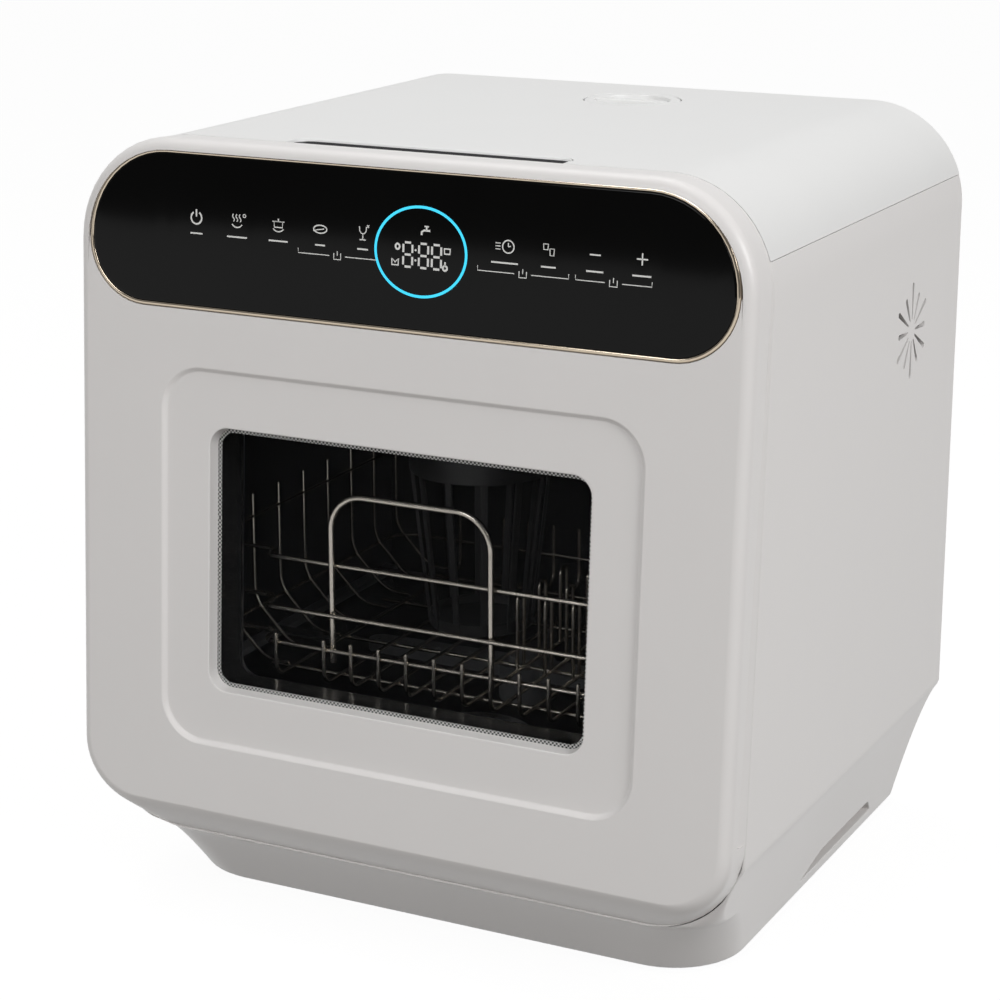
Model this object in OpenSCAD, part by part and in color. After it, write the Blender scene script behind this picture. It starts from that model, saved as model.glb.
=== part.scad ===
// Countertop dishwasher with a drop-down glazed door, a wire rack that follows the door,
// two spray arms, a built-in water tank with a cap on top, and a fan vent on the right.
// Millimetres. +Z is up, the door faces -Y, and the origin is on the worktop under the middle.

/* [Casing] */
// Overall width
body_w = 420; // [400:1:440]
// Overall depth, from the foot of the door's face to the back panel
body_d = 370; // [360:1:400]
// Overall height above the worktop
body_h = 465; // [455:1:480]
// Radius of the two long upper edges
top_r = 61; // [50:1:68]
// Radius of the two lower corners of the door
low_r = 58; // [50:1:62]
// Wall of the white mouldings
wall = 3; // [2.5:0.1:3.5]
// How far the front leans back, in degrees
lean = 3.6; // [2:0.2:4.4]
// Width of the visible seams
seam = 0.8; // [0.6:0.1:1.2]

/* [Plinth] */
// Height that the rubber feet show under the casing
foot_h = 2; // [1.5:0.5:4]
// Height where the side walls start to draw in
taper_z = 88; // [80:1:95]
// How far each side draws in at the bottom
side_draw = 30; // [22:1:33]
// How far the plinth's front draws in behind the door
front_draw = 36; // [25:1:40]
// Plan radius of the plinth's front corners
plinth_r = 45; // [41:1:50]
// Length of the hand grips
grip_len = 118; // [90:1:124]
// Height of the hand grips
grip_h = 11.6; // [9:0.2:13]

/* [Door] */
// Height of the foot of the door's face above the worktop
face_z = 71; // [66:1:76]
// Thickness of the door
door_t = 25; // [24:0.5:27]
// How far the door's underside drops from its face to its back
door_drop = 22.5; // [20:0.5:24]
// Radius of the door's front edge
edge_r = 7; // [5:0.5:8]
// Depth of the shallow recess round the window
recess_d = 2.5; // [1.5:0.1:3]
// How far the recess stays inside the door's sides
recess_side = 57; // [50:1:64]
// Height of the recess above the face's foot
recess_foot = 41.5; // [39:0.5:44]
// Plain band between the recess and the trim
recess_head = 31.25; // [28:0.25:36]
// How far the window's sides stay inside the recess
window_side = 32; // [29:1:40]
// How far the window's lower and upper edges stay inside the recess
window_rise = 34.5; // [32:0.5:40]
// Height of the control glass
control_h = 86; // [82:1:88]
// Width of the metal trim round the control glass
trim_w = 3.5; // [2.5:0.1:4]

/* [Wash chamber] */
// Room between each side of the casing and the chamber
side_room = 42; // [40:1:47]
// Height of its floor
tub_z = 104; // [100:1:108]
// Room between its ceiling and the top of the casing
roof_room = 61; // [57:1:68]
// Room behind its back wall
back_room = 57; // [55:1:64]
// Sheet thickness
sheet = 1.5; // [1:0.1:2]

/* [Rack] */
// Height of the rack's floor wires
rack_z = 140; // [139:1:144]
// Distance of the rack's front from the foot of the door's face
rack_in = 61; // [59:1:66]
// How far the rack's front stays inside the chamber's sides
front_room = 50; // [44:1:60]
// How far the rack's sides stay inside the chamber's sides
rack_room = 13; // [11:1:20]
// Radius of the thin wires
wire_r = 1.3; // [1.1:0.1:1.6]
// Radius of the rails
rail_r = 1.6; // [1.4:0.1:2]
// Distance between the floor wires
floor_pitch = 18.6; // [17:0.2:20]

/* [Cap] */
// Radius of the fill cap
cap_r = 30.6; // [26:0.2:32]
// Where the cap stands across the top
cap_x = 13; // [0:1:40]
// How far the cap's axis is from the back
cap_back = 65; // [60:1:75]

/* [Hidden] */

fit = 0.3;              // gap between pieces that lie against each other
run = 0.05;             // radial clearance of a shaft in its hole
corner_steps = 8;       // straight runs that make one rounded corner of a shell
hw = body_w / 2;
y_face = -body_d / 2;
y_back = body_d / 2;

// Door frame: local x across, local y behind the door's face, local z up along it.
door_top = (body_h - face_z + door_t * sin(lean)) / cos(lean);
seam_t = door_t + seam;
// World height of a point of the door frame, and world y of the seam plane at a height
function door_z(t, s) = face_z - t * sin(lean) + s * cos(lean);
function door_y(t, s) = y_face + t * cos(lean) + s * sin(lean);
function seam_y(z) = y_face + seam_t / cos(lean) + (z - face_z) * tan(lean);

// Plinth profile
lip_z = door_z(door_t, -door_drop) - seam;
function ease(u) = pow(min(1, max(0, u)), 0.75);
function arch_half(z) = z < body_h - top_r ? hw
    : hw - top_r + sqrt(max(0, top_r * top_r - pow(z - body_h + top_r, 2)));
function side_half(z) = z > taper_z ? arch_half(z)
    : hw - side_draw * ease((taper_z - z) / (taper_z - foot_h));
function plinth_y(z) = z > lip_z ? seam_y(z)
    : seam_y(lip_z) + front_draw * ease((lip_z - z) / (lip_z - foot_h));
// Half width of the casing's front edge, which follows the door's rounded lower corners
function mouth_half(z) = z > lip_z + low_r ? side_half(z)
    : hw - low_r + sqrt(max(0, low_r * low_r - pow(lip_z + low_r - z, 2)));
lip_r = side_half(lip_z) - mouth_half(lip_z);
function corner_r(z) = z > lip_z ? max(wall / 2, side_half(z) - mouth_half(z))
    : lip_r + (plinth_r - lip_r) * (lip_z - z) / (lip_z - foot_h);
cover_z = body_h - top_r * 0.7;
side_levels = concat([for (k = [0 : 7]) foot_h + (lip_z - foot_h) * k / 8],
    [for (k = [0 : 8]) lip_z + (taper_z + 4 - lip_z) * k / 8],
    [body_h - top_r], [for (k = [1 : 3]) body_h - top_r + (cover_z - body_h + top_r) * k / 3]);

// Hinge: the pins' axis in the door frame and in the world
hinge_t = door_t - 4.7;
hinge_s = 17.5 - door_drop;
hinge_y = door_y(hinge_t, hinge_s);
hinge_z = door_z(hinge_t, hinge_s);
hinge_x = hw - low_r - 2;
hinge_pin_r = 3.5;
hinge_eye_r = 6;
ear_x = hinge_x + 7.5;
frame_z = hinge_z + 20;

// Wash chamber's inner width, ceiling and back wall
tub_w = body_w - 2 * side_room;
tub_top = body_h - roof_room;
tub_y = y_back - back_room;

// Door stack, all depths behind the face
skin = 2.5;
trim_d = 5;
back_plate_t = trim_d + skin;
pane_t = 10;
pane_w = 4;
liner_t = door_t - skin;
plug_t = door_t + 14;
plug_half = tub_w / 2 - 10;
plug_s0 = (tub_z + 2.5 - door_z(plug_t, 0)) / cos(lean);
plug_s1 = (tub_top - 6 - door_z(plug_t, 0)) / cos(lean);
inner_pane_t = plug_t - 2 - 3.6;
control_half = hw - 7 - trim_w;
control_s = door_top - 4.6 - trim_w - control_h;
control_top_r = top_r - 7 - trim_w;
control_low_r = control_h - control_top_r - 1;
face_low_r = 33;
board_s = control_s + control_h / 2;
recess_w = body_w - 2 * recess_side;
recess_h = control_s - trim_w - recess_head - recess_foot;
window_w = recess_w - 2 * window_side;
window_h = recess_h - 2 * window_rise;
window_s = recess_foot + window_rise;

// Wash chamber
frame_t = door_t + 2;
mouth_r = 18;
sump_y = -76;
sump_r = 38;
post_r = 8;
arm_z = tub_z + 14;
arm_h = 9;
arm_len = 114;
upper_z = tub_top - 20;
upper_len = 78;
runner_top = rack_z - 6;

// Rack
rack_y = y_face + rack_in;
rack_front = tub_w / 2 - front_room;
rack_side = tub_w / 2 - rack_room;
rail_y = rack_y + wire_r + rail_r + fit;
handle_r = rail_r + 0.4;
floor_wires = 2 * floor((rack_front - 30) / floor_pitch) + 1;
rail_z = [rack_z + 20.5, rack_z + 42.5, rack_z + 72];
rim_z = rack_z + 80;
back_rim_z = rack_z + 20;
rack_back = tub_y - 14;
jog_y = rack_y + 22;
handle_x = [-69, 37];
handle_z = rack_z + 119;
basket_x = -42;
basket_y = 18;
basket_r = 45;
basket_h = 118;

// Cap, neck and tank
cap_y = y_back - cap_back;
cap_h = 11;
seat_r = cap_r + 1.2;
seat_wall = 7.5;
seat_out = seat_r + seat_wall;
neck_r = 24.2;
neck_floor_z = body_h - cap_h - 3;
tank_half = tub_w / 2 - 18;
tank_z0 = 86;
tank_z1 = body_h - 27;
tank_y0 = tub_y + sheet + 5;
tank_y1 = y_back - wall - 3;
tank_shelf_z = tub_top + sheet + 5;
tank_w = 2;

// Machinery under the chamber
pan_top = foot_h + wall;
pump_x = 62;
pump_y = 66;
pump_z = 40;
drain_x = -58;
drain_y = 84;
drain_z = 34;
fan_y = y_back - 91;
fan_z = body_h - 124;
fan_r = 36;
fan_x0 = tub_w / 2 + sheet + 2;
fan_x1 = hw - wall - fit;
inlet_x = -112;
spigot_x = -62;
gland_x = 118;
port_z = 46;
pocket_y = y_back - 24;
latch_z = tub_top + 17;
latch_s = (latch_z - door_z(door_t, 0)) / cos(lean);

$fn = 48;

// ---------- helpers ----------

module on_front() {
    translate([0, y_face, face_z])
        rotate([-lean, 0, 0])
            children();
}

// A flat shape drawn in x and z, given a depth from y0 to y1
module slab(y0, y1) {
    translate([0, y1, 0])
        rotate([90, 0, 0])
            linear_extrude(y1 - y0)
                children();
}

// Quarter of a disc, kept a little past its centre lines so that it overlaps its neighbours
module quarter(x, y, r, across, up) {
    keep = 0.4;
    intersection() {
        translate([x, y])
            circle(r);
        translate([across > 0 ? x - keep : x - r, up > 0 ? y - keep : y - r])
            square(r + keep);
    }
}

// Rounded rectangle with its own lower and upper radii, made only of circles and squares
module panel(half, s0, s1, r0, r1) {
    translate([-half, s0 + r0])
        square([2 * half, s1 - s0 - r0 - r1]);
    translate([-half + r0, s0])
        square([2 * (half - r0), r0 + 0.5]);
    translate([-half + r1, s1 - r1 - 0.5])
        square([2 * (half - r1), r1 + 0.5]);
    for (side = [-1, 1]) {
        quarter(side * (half - r0), s0 + r0, r0, side, -1);
        quarter(side * (half - r1), s1 - r1, r1, side, 1);
    }
}

// Points of a rounded rectangle, anticlockwise: lower right, upper right, upper left, lower left
function corner(cx, cy, r, a) = [for (k = [0 : corner_steps])
    [cx + r * cos(a + 90 * k / corner_steps), cy + r * sin(a + 90 * k / corner_steps)]];
function outline(half, y0, y1, r0, r1) = concat(
    corner(half - r0, y0 + r0, r0, -90), corner(half - r1, y1 - r1, r1, 0),
    corner(r1 - half, y1 - r1, r1, 90), corner(r0 - half, y0 + r0, r0, 180));

// Skin over a stack of rings with equal point counts, closed at both ends
module loft(rings, flip = false) {
    n = len(rings[0]);
    m = len(rings);
    quads = [for (i = [0 : m - 2], j = [0 : n - 1])
        [i * n + j, i * n + (j + 1) % n, (i + 1) * n + (j + 1) % n, (i + 1) * n + j]];
    ends = [[for (j = [0 : n - 1]) n - 1 - j], [for (j = [0 : n - 1]) (m - 1) * n + j]];
    faces = concat(quads, ends);
    polyhedron([for (r = rings, p = r) p],
        flip ? [for (f = faces) [for (k = [len(f) - 1 : -1 : 0]) f[k]]] : faces, convexity = 8);
}

// Polyline with its corners rounded to a radius
function unit(v) = v / norm(v);
function bent(p, r, steps) = [for (i = [0 : len(p) - 1])
    each (i == 0 || i == len(p) - 1) ? [p[i]] : arc_at(p[i - 1], p[i], p[i + 1], r, steps)];
function arc_at(a, b, c, r, steps) =
    let (u = unit(a - b), v = unit(c - b), half = acos(u * v) / 2, turn = 180 - 2 * half,
        o = b + unit(u + v) * r / sin(half),
        e0 = unit(b + u * r / tan(half) - o), e1 = unit(b + v * r / tan(half) - o))
    [for (k = [0 : steps]) o + r * (e0 * sin(turn * (1 - k / steps)) + e1 * sin(turn * k / steps))
        / sin(turn)];

// Round wire along a flat path; side is the normal of the plane that the path lies in
module wire(path, r, side, sides = 6) {
    n = len(path);
    tangent = [for (i = [0 : n - 1]) unit(path[min(i + 1, n - 1)] - path[max(i - 1, 0)])];
    rings = [for (i = [0 : n - 1]) let (v = cross(tangent[i], side))
        [for (k = [0 : sides - 1]) path[i] + r * (side * cos(360 * k / sides)
            + v * sin(360 * k / sides))]];
    loft(rings, flip = true);
}

// Straight round pipe through points, with ball corners
module pipe(points, r) {
    for (i = [0 : len(points) - 2]) {
        d = points[i + 1] - points[i];
        translate(points[i])
            rotate([0, acos(d.z / norm(d)), atan2(d.y, d.x)])
                cylinder(r = r, h = norm(d));
        if (i > 0)
            translate(points[i])
                sphere(r);
    }
}

module rod_x(x0, x1, r) {
    translate([x0, 0, 0])
        rotate([0, 90, 0])
            cylinder(r = r, h = x1 - x0);
}

module rod_y(y0, y1, r) {
    translate([0, y1, 0])
        rotate([90, 0, 0])
            cylinder(r = r, h = y1 - y0);
}

module box(x0, x1, y0, y1, z0, z1) {
    translate([x0, y0, z0])
        cube([x1 - x0, y1 - y0, z1 - z0]);
}

// ---------- casing ----------

function plan_ring(z, gap) = [for (p = outline(side_half(z) - gap, plinth_y(z) + gap,
    gap > 0 ? y_back + 5 : y_back, max(0.5, corner_r(z) - gap), 1)) [p.x, p.y, z]];

module casing_solid(gap, z0, z1) {
    levels = concat([z0], [for (z = side_levels) if (z > z0 + 1 && z < z1 - 0.5) z], [z1]);
    loft([for (z = levels) plan_ring(z, gap)], flip = true);
}

grip_y = 70;
grip_z = 17;
grip_depth = 17;

// Twelve tapered slots, wider at their outer end, set round the vent's axis
module vent_star(x0, x1) {
    translate([x0, fan_y, fan_z])
        rotate([0, 90, 0])
            for (k = [0 : 11])
                rotate(30 * k + 15)
                    linear_extrude(x1 - x0)
                        polygon([[7, -0.5], [k % 2 == 0 ? 29 : 24, -1.6],
                            [k % 2 == 0 ? 29 : 24, 1.6], [7, 0.5]]);
}

module grip_block(gap) {
    for (side = [-1, 1])
        translate([side * side_half(grip_z), grip_y, grip_z])
            cube([2 * (grip_depth + gap), grip_len + 2 * gap, grip_h + 2 * gap], center = true);
}

module body_shell() {
    color([0.9, 0.9, 0.89])
        difference() {
            casing_solid(0, foot_h, cover_z);
            difference() {
                casing_solid(wall, foot_h - 1, cover_z + 1);
                grip_block(2);
            }
            on_front()
                slab(door_t - 5, seam_t + wall + 1.5)
                    panel(hw - 2, -door_drop - seam, door_top - wall, low_r, top_r - wall);
            vent_star(hw - wall - 2, hw + 1);
            grip_block(0);
        }
}

module arch(gap) {
    intersection() {
        panel(hw - gap, 0, body_h - gap, 10, top_r - gap);
        translate([-hw, cover_z + seam])
            square([body_w, top_r]);
    }
}

scoop_half = 86;
scoop_t = 17;
scoop_d = 18;

module scoop(gap, rise) {
    on_front()
        translate([-scoop_half - gap, 0, door_top])
            rotate([90, 0, 90])
                linear_extrude(2 * (scoop_half + gap))
                    polygon([[door_t - 2, rise], [seam_t + scoop_t + gap, rise],
                        [seam_t + scoop_t / 2 + gap, -scoop_d - gap],
                        [door_t - 2, -scoop_d - gap]]);
}

module top_cover() {
    color([0.93, 0.93, 0.92])
        difference() {
            union() {
                difference() {
                    slab(y_face, y_back)
                        arch(0);
                    slab(y_face - 1, y_back + 1)
                        arch(wall);
                }
                scoop(2, -wall / 2);
            }
            scoop(0, 5);
            on_front()
                translate([-body_w, seam_t - body_d, 0])
                    cube([2 * body_w, body_d, 2 * body_h]);
            translate([cap_x, cap_y, body_h - 2 * wall])
                cylinder(r = seat_out + fit, h = 3 * wall);
        }
}

module back_outline(gap) {
    intersection() {
        panel(hw - wall - gap, foot_h + wall + gap, body_h - wall - gap, 6, top_r - wall - gap);
        polygon(concat([for (z = side_levels) [side_half(z) - wall - gap, z]],
            [[hw, body_h], [-hw, body_h]],
            [for (k = [len(side_levels) - 1 : -1 : 0])
                [-side_half(side_levels[k]) + wall + gap, side_levels[k]]]));
    }
}

pocket_x0 = inlet_x - 28;
pocket_x1 = spigot_x + 24;
pocket_z0 = port_z - 24;
pocket_z1 = port_z + 24;

module back_panel() {
    color([0.86, 0.86, 0.85])
        difference() {
            union() {
                slab(y_back - wall, y_back - 0.5)
                    back_outline(fit);
                box(pocket_x0 - 2, pocket_x1 + 2, pocket_y - 2, y_back - wall,
                    pocket_z0 - 2, pocket_z1 + 2);
                translate([gland_x, 0, port_z])
                    rod_y(y_back - wall - 4, y_back - wall, 16);
            }
            box(pocket_x0, pocket_x1, pocket_y, y_back, pocket_z0, pocket_z1);
            for (x = [inlet_x, spigot_x])
                translate([x, 0, port_z])
                    rod_y(pocket_y - 5, pocket_y + 1, x == inlet_x ? 13.6 : 9.4);
            translate([gland_x, 0, port_z])
                rod_y(y_back - 10, y_back + 1, 9.3);
            for (row = [0 : 6], side = [-1, 1])
                box(side * 88 - 44, side * 88 + 44, y_back - 5, y_back + 1,
                    120 + 14 * row, 124 + 14 * row);
            for (p = screw_points)
                translate([p.x, 0, p.y])
                    rod_y(y_back - 5, y_back + 1, 2);
        }
}

screw_points = [for (side = [-1, 1], z = [30, 150, body_h - 175, tub_top])
    [side * (side_half(z) - 14), z]];

module case_screws() {
    color([0.7, 0.7, 0.72])
        for (p = screw_points)
            translate([p.x, 0, p.y]) {
                rod_y(y_back - 0.5 + 0.02, y_back + 0.0, 4);
                rod_y(y_back - 12, y_back, 1.9);
            }
}

module base_pan() {
    color([0.6, 0.6, 0.6])
        difference() {
            loft([for (z = [foot_h, pan_top]) [for (p = outline(side_half(foot_h) - wall - fit,
                plinth_y(foot_h) + wall + fit, y_back - wall - fit, plinth_r - wall, 2))
                [p.x, p.y, z]]], flip = true);
            for (p = foot_points)
                translate([p.x, p.y, foot_h - 1])
                    cylinder(r = 4.05, h = wall + 2);
            for (k = [-3 : 3])
                box(-40, 40, 14 * k + 40, 14 * k + 46, foot_h - 1, pan_top + 1);
        }
}

foot_points = [for (x = [-1, 1], y = [plinth_y(foot_h) + 42, y_back - 34])
    [x * (side_half(foot_h) - 36), y]];

module rubber_feet() {
    color([0.1, 0.1, 0.1])
        for (p = foot_points)
            translate([p.x, p.y, 0]) {
                cylinder(r = 14, h = foot_h);
                cylinder(r = 4, h = pan_top);
            }
}

// ---------- chamber ----------

module mouth(gap) {
    panel(tub_w / 2 + gap, tub_z - gap, tub_top + gap, mouth_r + gap, mouth_r + gap);
}

module front_frame() {
    low_half = side_half(frame_z) - wall - 1;
    color([0.8, 0.8, 0.79])
        difference() {
            union() {
                intersection() {
                    on_front()
                        slab(frame_t, frame_t + 2.5)
                            panel(hw - wall - fit, -door_drop + wall, door_top - wall - fit,
                                low_r - wall, top_r - wall - fit);
                    union() {
                        box(-hw, hw, y_face, 0, taper_z, body_h);
                        box(-low_half, low_half, y_face, 0, frame_z, taper_z + 1);
                    }
                }
                box(-hinge_x + 12, hinge_x - 12, seam_y(frame_z) + 2, hinge_y + 21,
                    frame_z, frame_z + 2);
                box(-hinge_x + 12, hinge_x - 12, hinge_y + 19, hinge_y + 21, lip_z, frame_z + 2);
            }
            slab(y_face, 0)
                mouth(sheet + 0.2);
            box(-9, 9, y_face, 0, latch_z - 4, latch_z + 6);
            scoop(2.6, 20);
        }
}

module tub() {
    color([0.7, 0.7, 0.72])
        difference() {
            intersection() {
                slab(y_face, tub_y + sheet)
                    mouth(sheet);
                on_front()
                    translate([-body_w, frame_t - 0.5, -body_h])
                        cube([2 * body_w, 2 * body_d, 3 * body_h]);
            }
            slab(y_face, tub_y)
                mouth(0);
            translate([0, sump_y, tub_z - 5])
                cylinder(r = sump_r, h = 10);
            translate([0, 0, tub_z - 5])
                cylinder(r = 12.3, h = 10);
            translate([0, 0, tub_top - 5])
                cylinder(r = 7.3, h = 10);
        }
}

module tub_gasket() {
    half = tub_w / 2;
    s0 = (tub_z - door_z(frame_t, 0)) / cos(lean);
    s1 = (tub_top - door_z(frame_t, 0)) / cos(lean);
    color([0.25, 0.25, 0.26])
        on_front()
            slab(door_t + 0.6, frame_t - 0.1)
                difference() {
                    panel(half + 9, s0 - 9, s1 + 9, mouth_r + 9, mouth_r + 9);
                    panel(half + 3, s0 - 3, s1 + 3, mouth_r + 3, mouth_r + 3);
                }
}

module rack_runners() {
    color([0.35, 0.36, 0.37])
        for (side = [-1, 1])
            box(side > 0 ? tub_w / 2 - 9 : -tub_w / 2, side > 0 ? tub_w / 2 : -tub_w / 2 + 9,
                rack_y - 2, rack_back + 6, runner_top - 4, runner_top);
}

module sump() {
    color([0.3, 0.3, 0.32])
        translate([0, sump_y, 0])
            difference() {
                union() {
                    translate([0, 0, pump_z + 16])
                        cylinder(r = sump_r + 2, h = tub_z - sheet - fit - pump_z - 16);
                    translate([0, 0, tub_z - sheet - fit - 3])
                        cylinder(r = sump_r + 9, h = 3);
                    translate([0, 0, pan_top + fit])
                        cylinder(r = 16, h = pump_z + 16 - pan_top);
                }
                translate([0, 0, pump_z + 18])
                    cylinder(r = sump_r - 1, h = tub_z);
            }
}

module filter_plate() {
    color([0.75, 0.75, 0.77])
        translate([0, sump_y, tub_z - sheet])
            difference() {
                cylinder(r = sump_r - fit, h = 2);
                translate([0, 0, -1])
                    cylinder(r = 22, h = 4);
                for (ring = [0 : 1], k = [0 : 15 + 4 * ring])
                    rotate(360 / (16 + 4 * ring) * k)
                        translate([26.5 + 5.5 * ring, 0, -1])
                            cylinder(r = 1.3, h = 4);
            }
}

module filter_cylinder() {
    color([0.35, 0.36, 0.37])
    translate([0, sump_y, 0])
        difference() {
            union() {
                translate([0, 0, pump_z + 19])
                    cylinder(r = 20, h = tub_z - pump_z - 19);
                translate([0, 0, tub_z + 0.6])
                    cylinder(r = 25, h = 2);
                translate([-20, -2, tub_z - 1])
                    cube([40, 4, 9]);
            }
            translate([0, 0, pump_z + 21])
                cylinder(r = 18, h = tub_z);
        }
}

module spray_hub() {
    color([0.5, 0.5, 0.52])
        difference() {
            union() {
                translate([0, 0, tub_z - 14])
                    cylinder(r = 12, h = 14.2);
                translate([0, 0, tub_z + fit])
                    cylinder(r = 18, h = arm_z - tub_z - 2 * fit);
                translate([0, 0, tub_z])
                    cylinder(r = 12, h = 2);
                cylinder_between(arm_z - 1, arm_z + arm_h + fit, post_r);
                translate([0, 0, arm_z + arm_h + fit])
                    cylinder(r = 12, h = 5);
            }
            translate([0, 0, tub_z - 15])
                cylinder(r = 5, h = arm_h + 20);
        }
}

module cylinder_between(z0, z1, r) {
    translate([0, 0, z0])
        cylinder(r = r, h = z1 - z0);
}

// Two wings round a hub with a bore; jets along the top or the bottom face
module spray_arm(length, z0, h, bore, down) {
    difference() {
        union() {
            cylinder_between(z0, z0 + h, bore + 10);
            translate([0, 0, z0 + 1])
                linear_extrude(h - 2)
                    for (side = [0, 180])
                        rotate(side) {
                            polygon([[0, -12], [length - 9, -8], [length - 9, 8], [0, 12]]);
                            translate([length - 9, 0])
                                circle(8);
                        }
        }
        cylinder_between(z0 - 1, z0 + h + 1, bore + run);
        for (side = [0, 180], k = [0 : 3])
            rotate(side)
                translate([length * (0.36 + 0.19 * k), 3 * (k % 2) - 1.5, down ? z0 - 1 : z0 + h - 4])
                    cylinder(r = 1.4, h = 5);
    }
}

module lower_spray_arm() {
    color([0.62, 0.63, 0.65])
        spray_arm(arm_len, arm_z, arm_h, post_r, false);
}

module upper_hub() {
    color([0.2, 0.2, 0.21])
        difference() {
            union() {
                cylinder_between(upper_z - fit - 6, tub_top + 8, 7);
                cylinder_between(upper_z - fit - 6, upper_z - fit, 11);
                translate([0, 0, upper_z + 7 + fit])
                    cylinder(r1 = 12, r2 = 24, h = tub_top - upper_z - 7 - 2 * fit);
            }
            cylinder_between(upper_z, tub_top + 9, 4);
        }
}

module upper_spray_arm() {
    color([0.22, 0.22, 0.23])
        spray_arm(upper_len, upper_z, 7, 7, true);
}

// ---------- machinery ----------

module pump_housing() {
    color([0.25, 0.25, 0.27])
        translate([pump_x, pump_y, pump_z])
            difference() {
                union() {
                    rod_x(-26, 0, 31);
                    translate([-26, -12, -(pump_z - pan_top - fit)])
                        cube([26, 24, pump_z - pan_top - fit]);
                }
                rod_x(-23, -3, 27);
                rod_x(-4, 1, 5);
                rod_x(-30, -22, 9);
            }
}

module wash_impeller() {
    color([0.8, 0.8, 0.78])
        translate([pump_x, pump_y, pump_z]) {
            rod_x(-8, -5.5, 24);
            rod_x(-19, -5, 7);
            rod_x(-10, 62, 3);
            for (k = [0 : 5])
                rotate([60 * k + 12, 0, 0])
                    translate([-18, -1, 5])
                        cube([11, 2, 17]);
        }
}

module pump_motor() {
    color([0.55, 0.56, 0.58])
        translate([pump_x, pump_y, pump_z])
            difference() {
                union() {
                    rod_x(fit, 68, 26);
                    translate([10, -16, -(pump_z - pan_top - fit)])
                        cube([50, 32, pump_z - pan_top - fit]);
                }
                rod_x(-1, 63, 3 + run);
            }
}

module drain_pump_body() {
    color([0.3, 0.3, 0.32])
        translate([drain_x, drain_y, drain_z])
            difference() {
                union() {
                    rod_x(-18, 0, 20);
                    rod_x(-1, 40, 17);
                    translate([-14, -8, -(drain_z - pan_top - fit)])
                        cube([48, 16, drain_z - pan_top - fit]);
                    translate([-8, 0, 14])
                        cylinder(r = 6, h = 9);
                }
                rod_x(-15, -3, 16);
                rod_x(-4, 30, 2 + run);
                rod_x(-20, -14, 5);
            }
}

module drain_impeller() {
    color([0.8, 0.8, 0.78])
        translate([drain_x, drain_y, drain_z]) {
            rod_x(-12, 28, 2);
            rod_x(-6, -4.5, 13);
            for (k = [0 : 3])
                rotate([90 * k, 0, 0])
                    translate([-12, -0.8, 1])
                        cube([7, 1.6, 12]);
        }
}

module heater() {
    color([0.75, 0.75, 0.77])
        difference() {
            union() {
                translate([28, 0, pump_z])
                    rod_y(-62, pump_y - 31 - fit, 15);
                for (y = [-50, 18])
                    box(20, 36, y - 4, y + 4, pan_top + fit, pump_z);
            }
            translate([28, 0, pump_z])
                rod_y(-60, 28, 12);
        }
}

outlet_x = pump_x - 13;

// The feed from the pump to the spray hub, and the outlet from the tank to the pump
module hoses() {
    color([0.2, 0.2, 0.21]) {
        pipe([[0, 0, tub_z - 14 - fit], [0, 0, pump_z + 22], [28, 0, pump_z + 22],
            [28, 0, pump_z + 15 + fit]], 6);
        difference() {
            pipe([[outlet_x, tank_y0 + 20, tank_z0 - fit], [outlet_x, tank_y0 + 20, pump_z],
                [outlet_x, pump_y + 31 + fit, pump_z]], 6);
            translate([outlet_x, tank_y0 + 20, tank_z0 - 20])
                cylinder(r = 3, h = 30);
        }
    }
}

module riser_pipe() {
    x = -(tub_w / 2 + sheet + 17);
    color([0.2, 0.2, 0.21])
        pipe([[-6 - fit, 0, tub_z - 30], [-tub_w / 2 + 18, 0, tub_z - 30], [x, 0, tub_z + 6],
            [x, 0, tub_top + 16], [0, 0, tub_top + 16], [0, 0, tub_top + 8 + fit]], 6);
}

module water_tank() {
    color([0.82, 0.86, 0.9])
        difference() {
            union() {
                box(-tank_half, tank_half, tank_y0, tank_y1, tank_z0, tank_z1);
                box(-tank_half, tank_half, cap_y - 34, tank_y1, tank_shelf_z, tank_z1);
                for (x = [-tank_half, tank_half - 60])
                    box(x, x + 7, tank_y0, tank_y1, pan_top + fit, tank_z0 + 1);
            }
            box(-tank_half + tank_w, tank_half - tank_w, tank_y0 + tank_w, tank_y1 - tank_w,
                tank_z0 + tank_w, tank_z1 - tank_w);
            box(-tank_half + tank_w, tank_half - tank_w, cap_y - 34 + tank_w, tank_y1 - tank_w,
                tank_shelf_z + tank_w, tank_z1 - tank_w);
            translate([cap_x, cap_y, tank_z1 - 5])
                cylinder(r = neck_r + 2 + fit, h = 10);
            translate([outlet_x, tank_y0 + 20, tank_z0 - 1])
                cylinder(r = 3, h = 6);
        }
}

module filler_neck() {
    color([0.85, 0.85, 0.84])
        translate([cap_x, cap_y, 0])
            difference() {
                union() {
                    cylinder_between(neck_floor_z, neck_floor_z + 2, seat_out);
                    cylinder_between(tank_z1 - 10, neck_floor_z + 1, neck_r + 2);
                }
                cylinder_between(tank_z1 - 11, body_h, neck_r);
            }
}

// Collar that the cap sits in, flush with the top cover
module cap_seat() {
    color([0.93, 0.93, 0.92])
        translate([cap_x, cap_y, 0])
            difference() {
                cylinder_between(neck_floor_z + 2 + fit, body_h, seat_out);
                cylinder_between(neck_floor_z + 1, body_h + 1, seat_r);
            }
}

module cap_seal() {
    color([0.15, 0.15, 0.15])
        translate([cap_x, cap_y, 0])
            difference() {
                cylinder_between(neck_floor_z - 4, neck_floor_z + 2, neck_r - fit);
                cylinder_between(neck_floor_z - 5, neck_floor_z + 3, neck_r - 7);
            }
}

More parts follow.
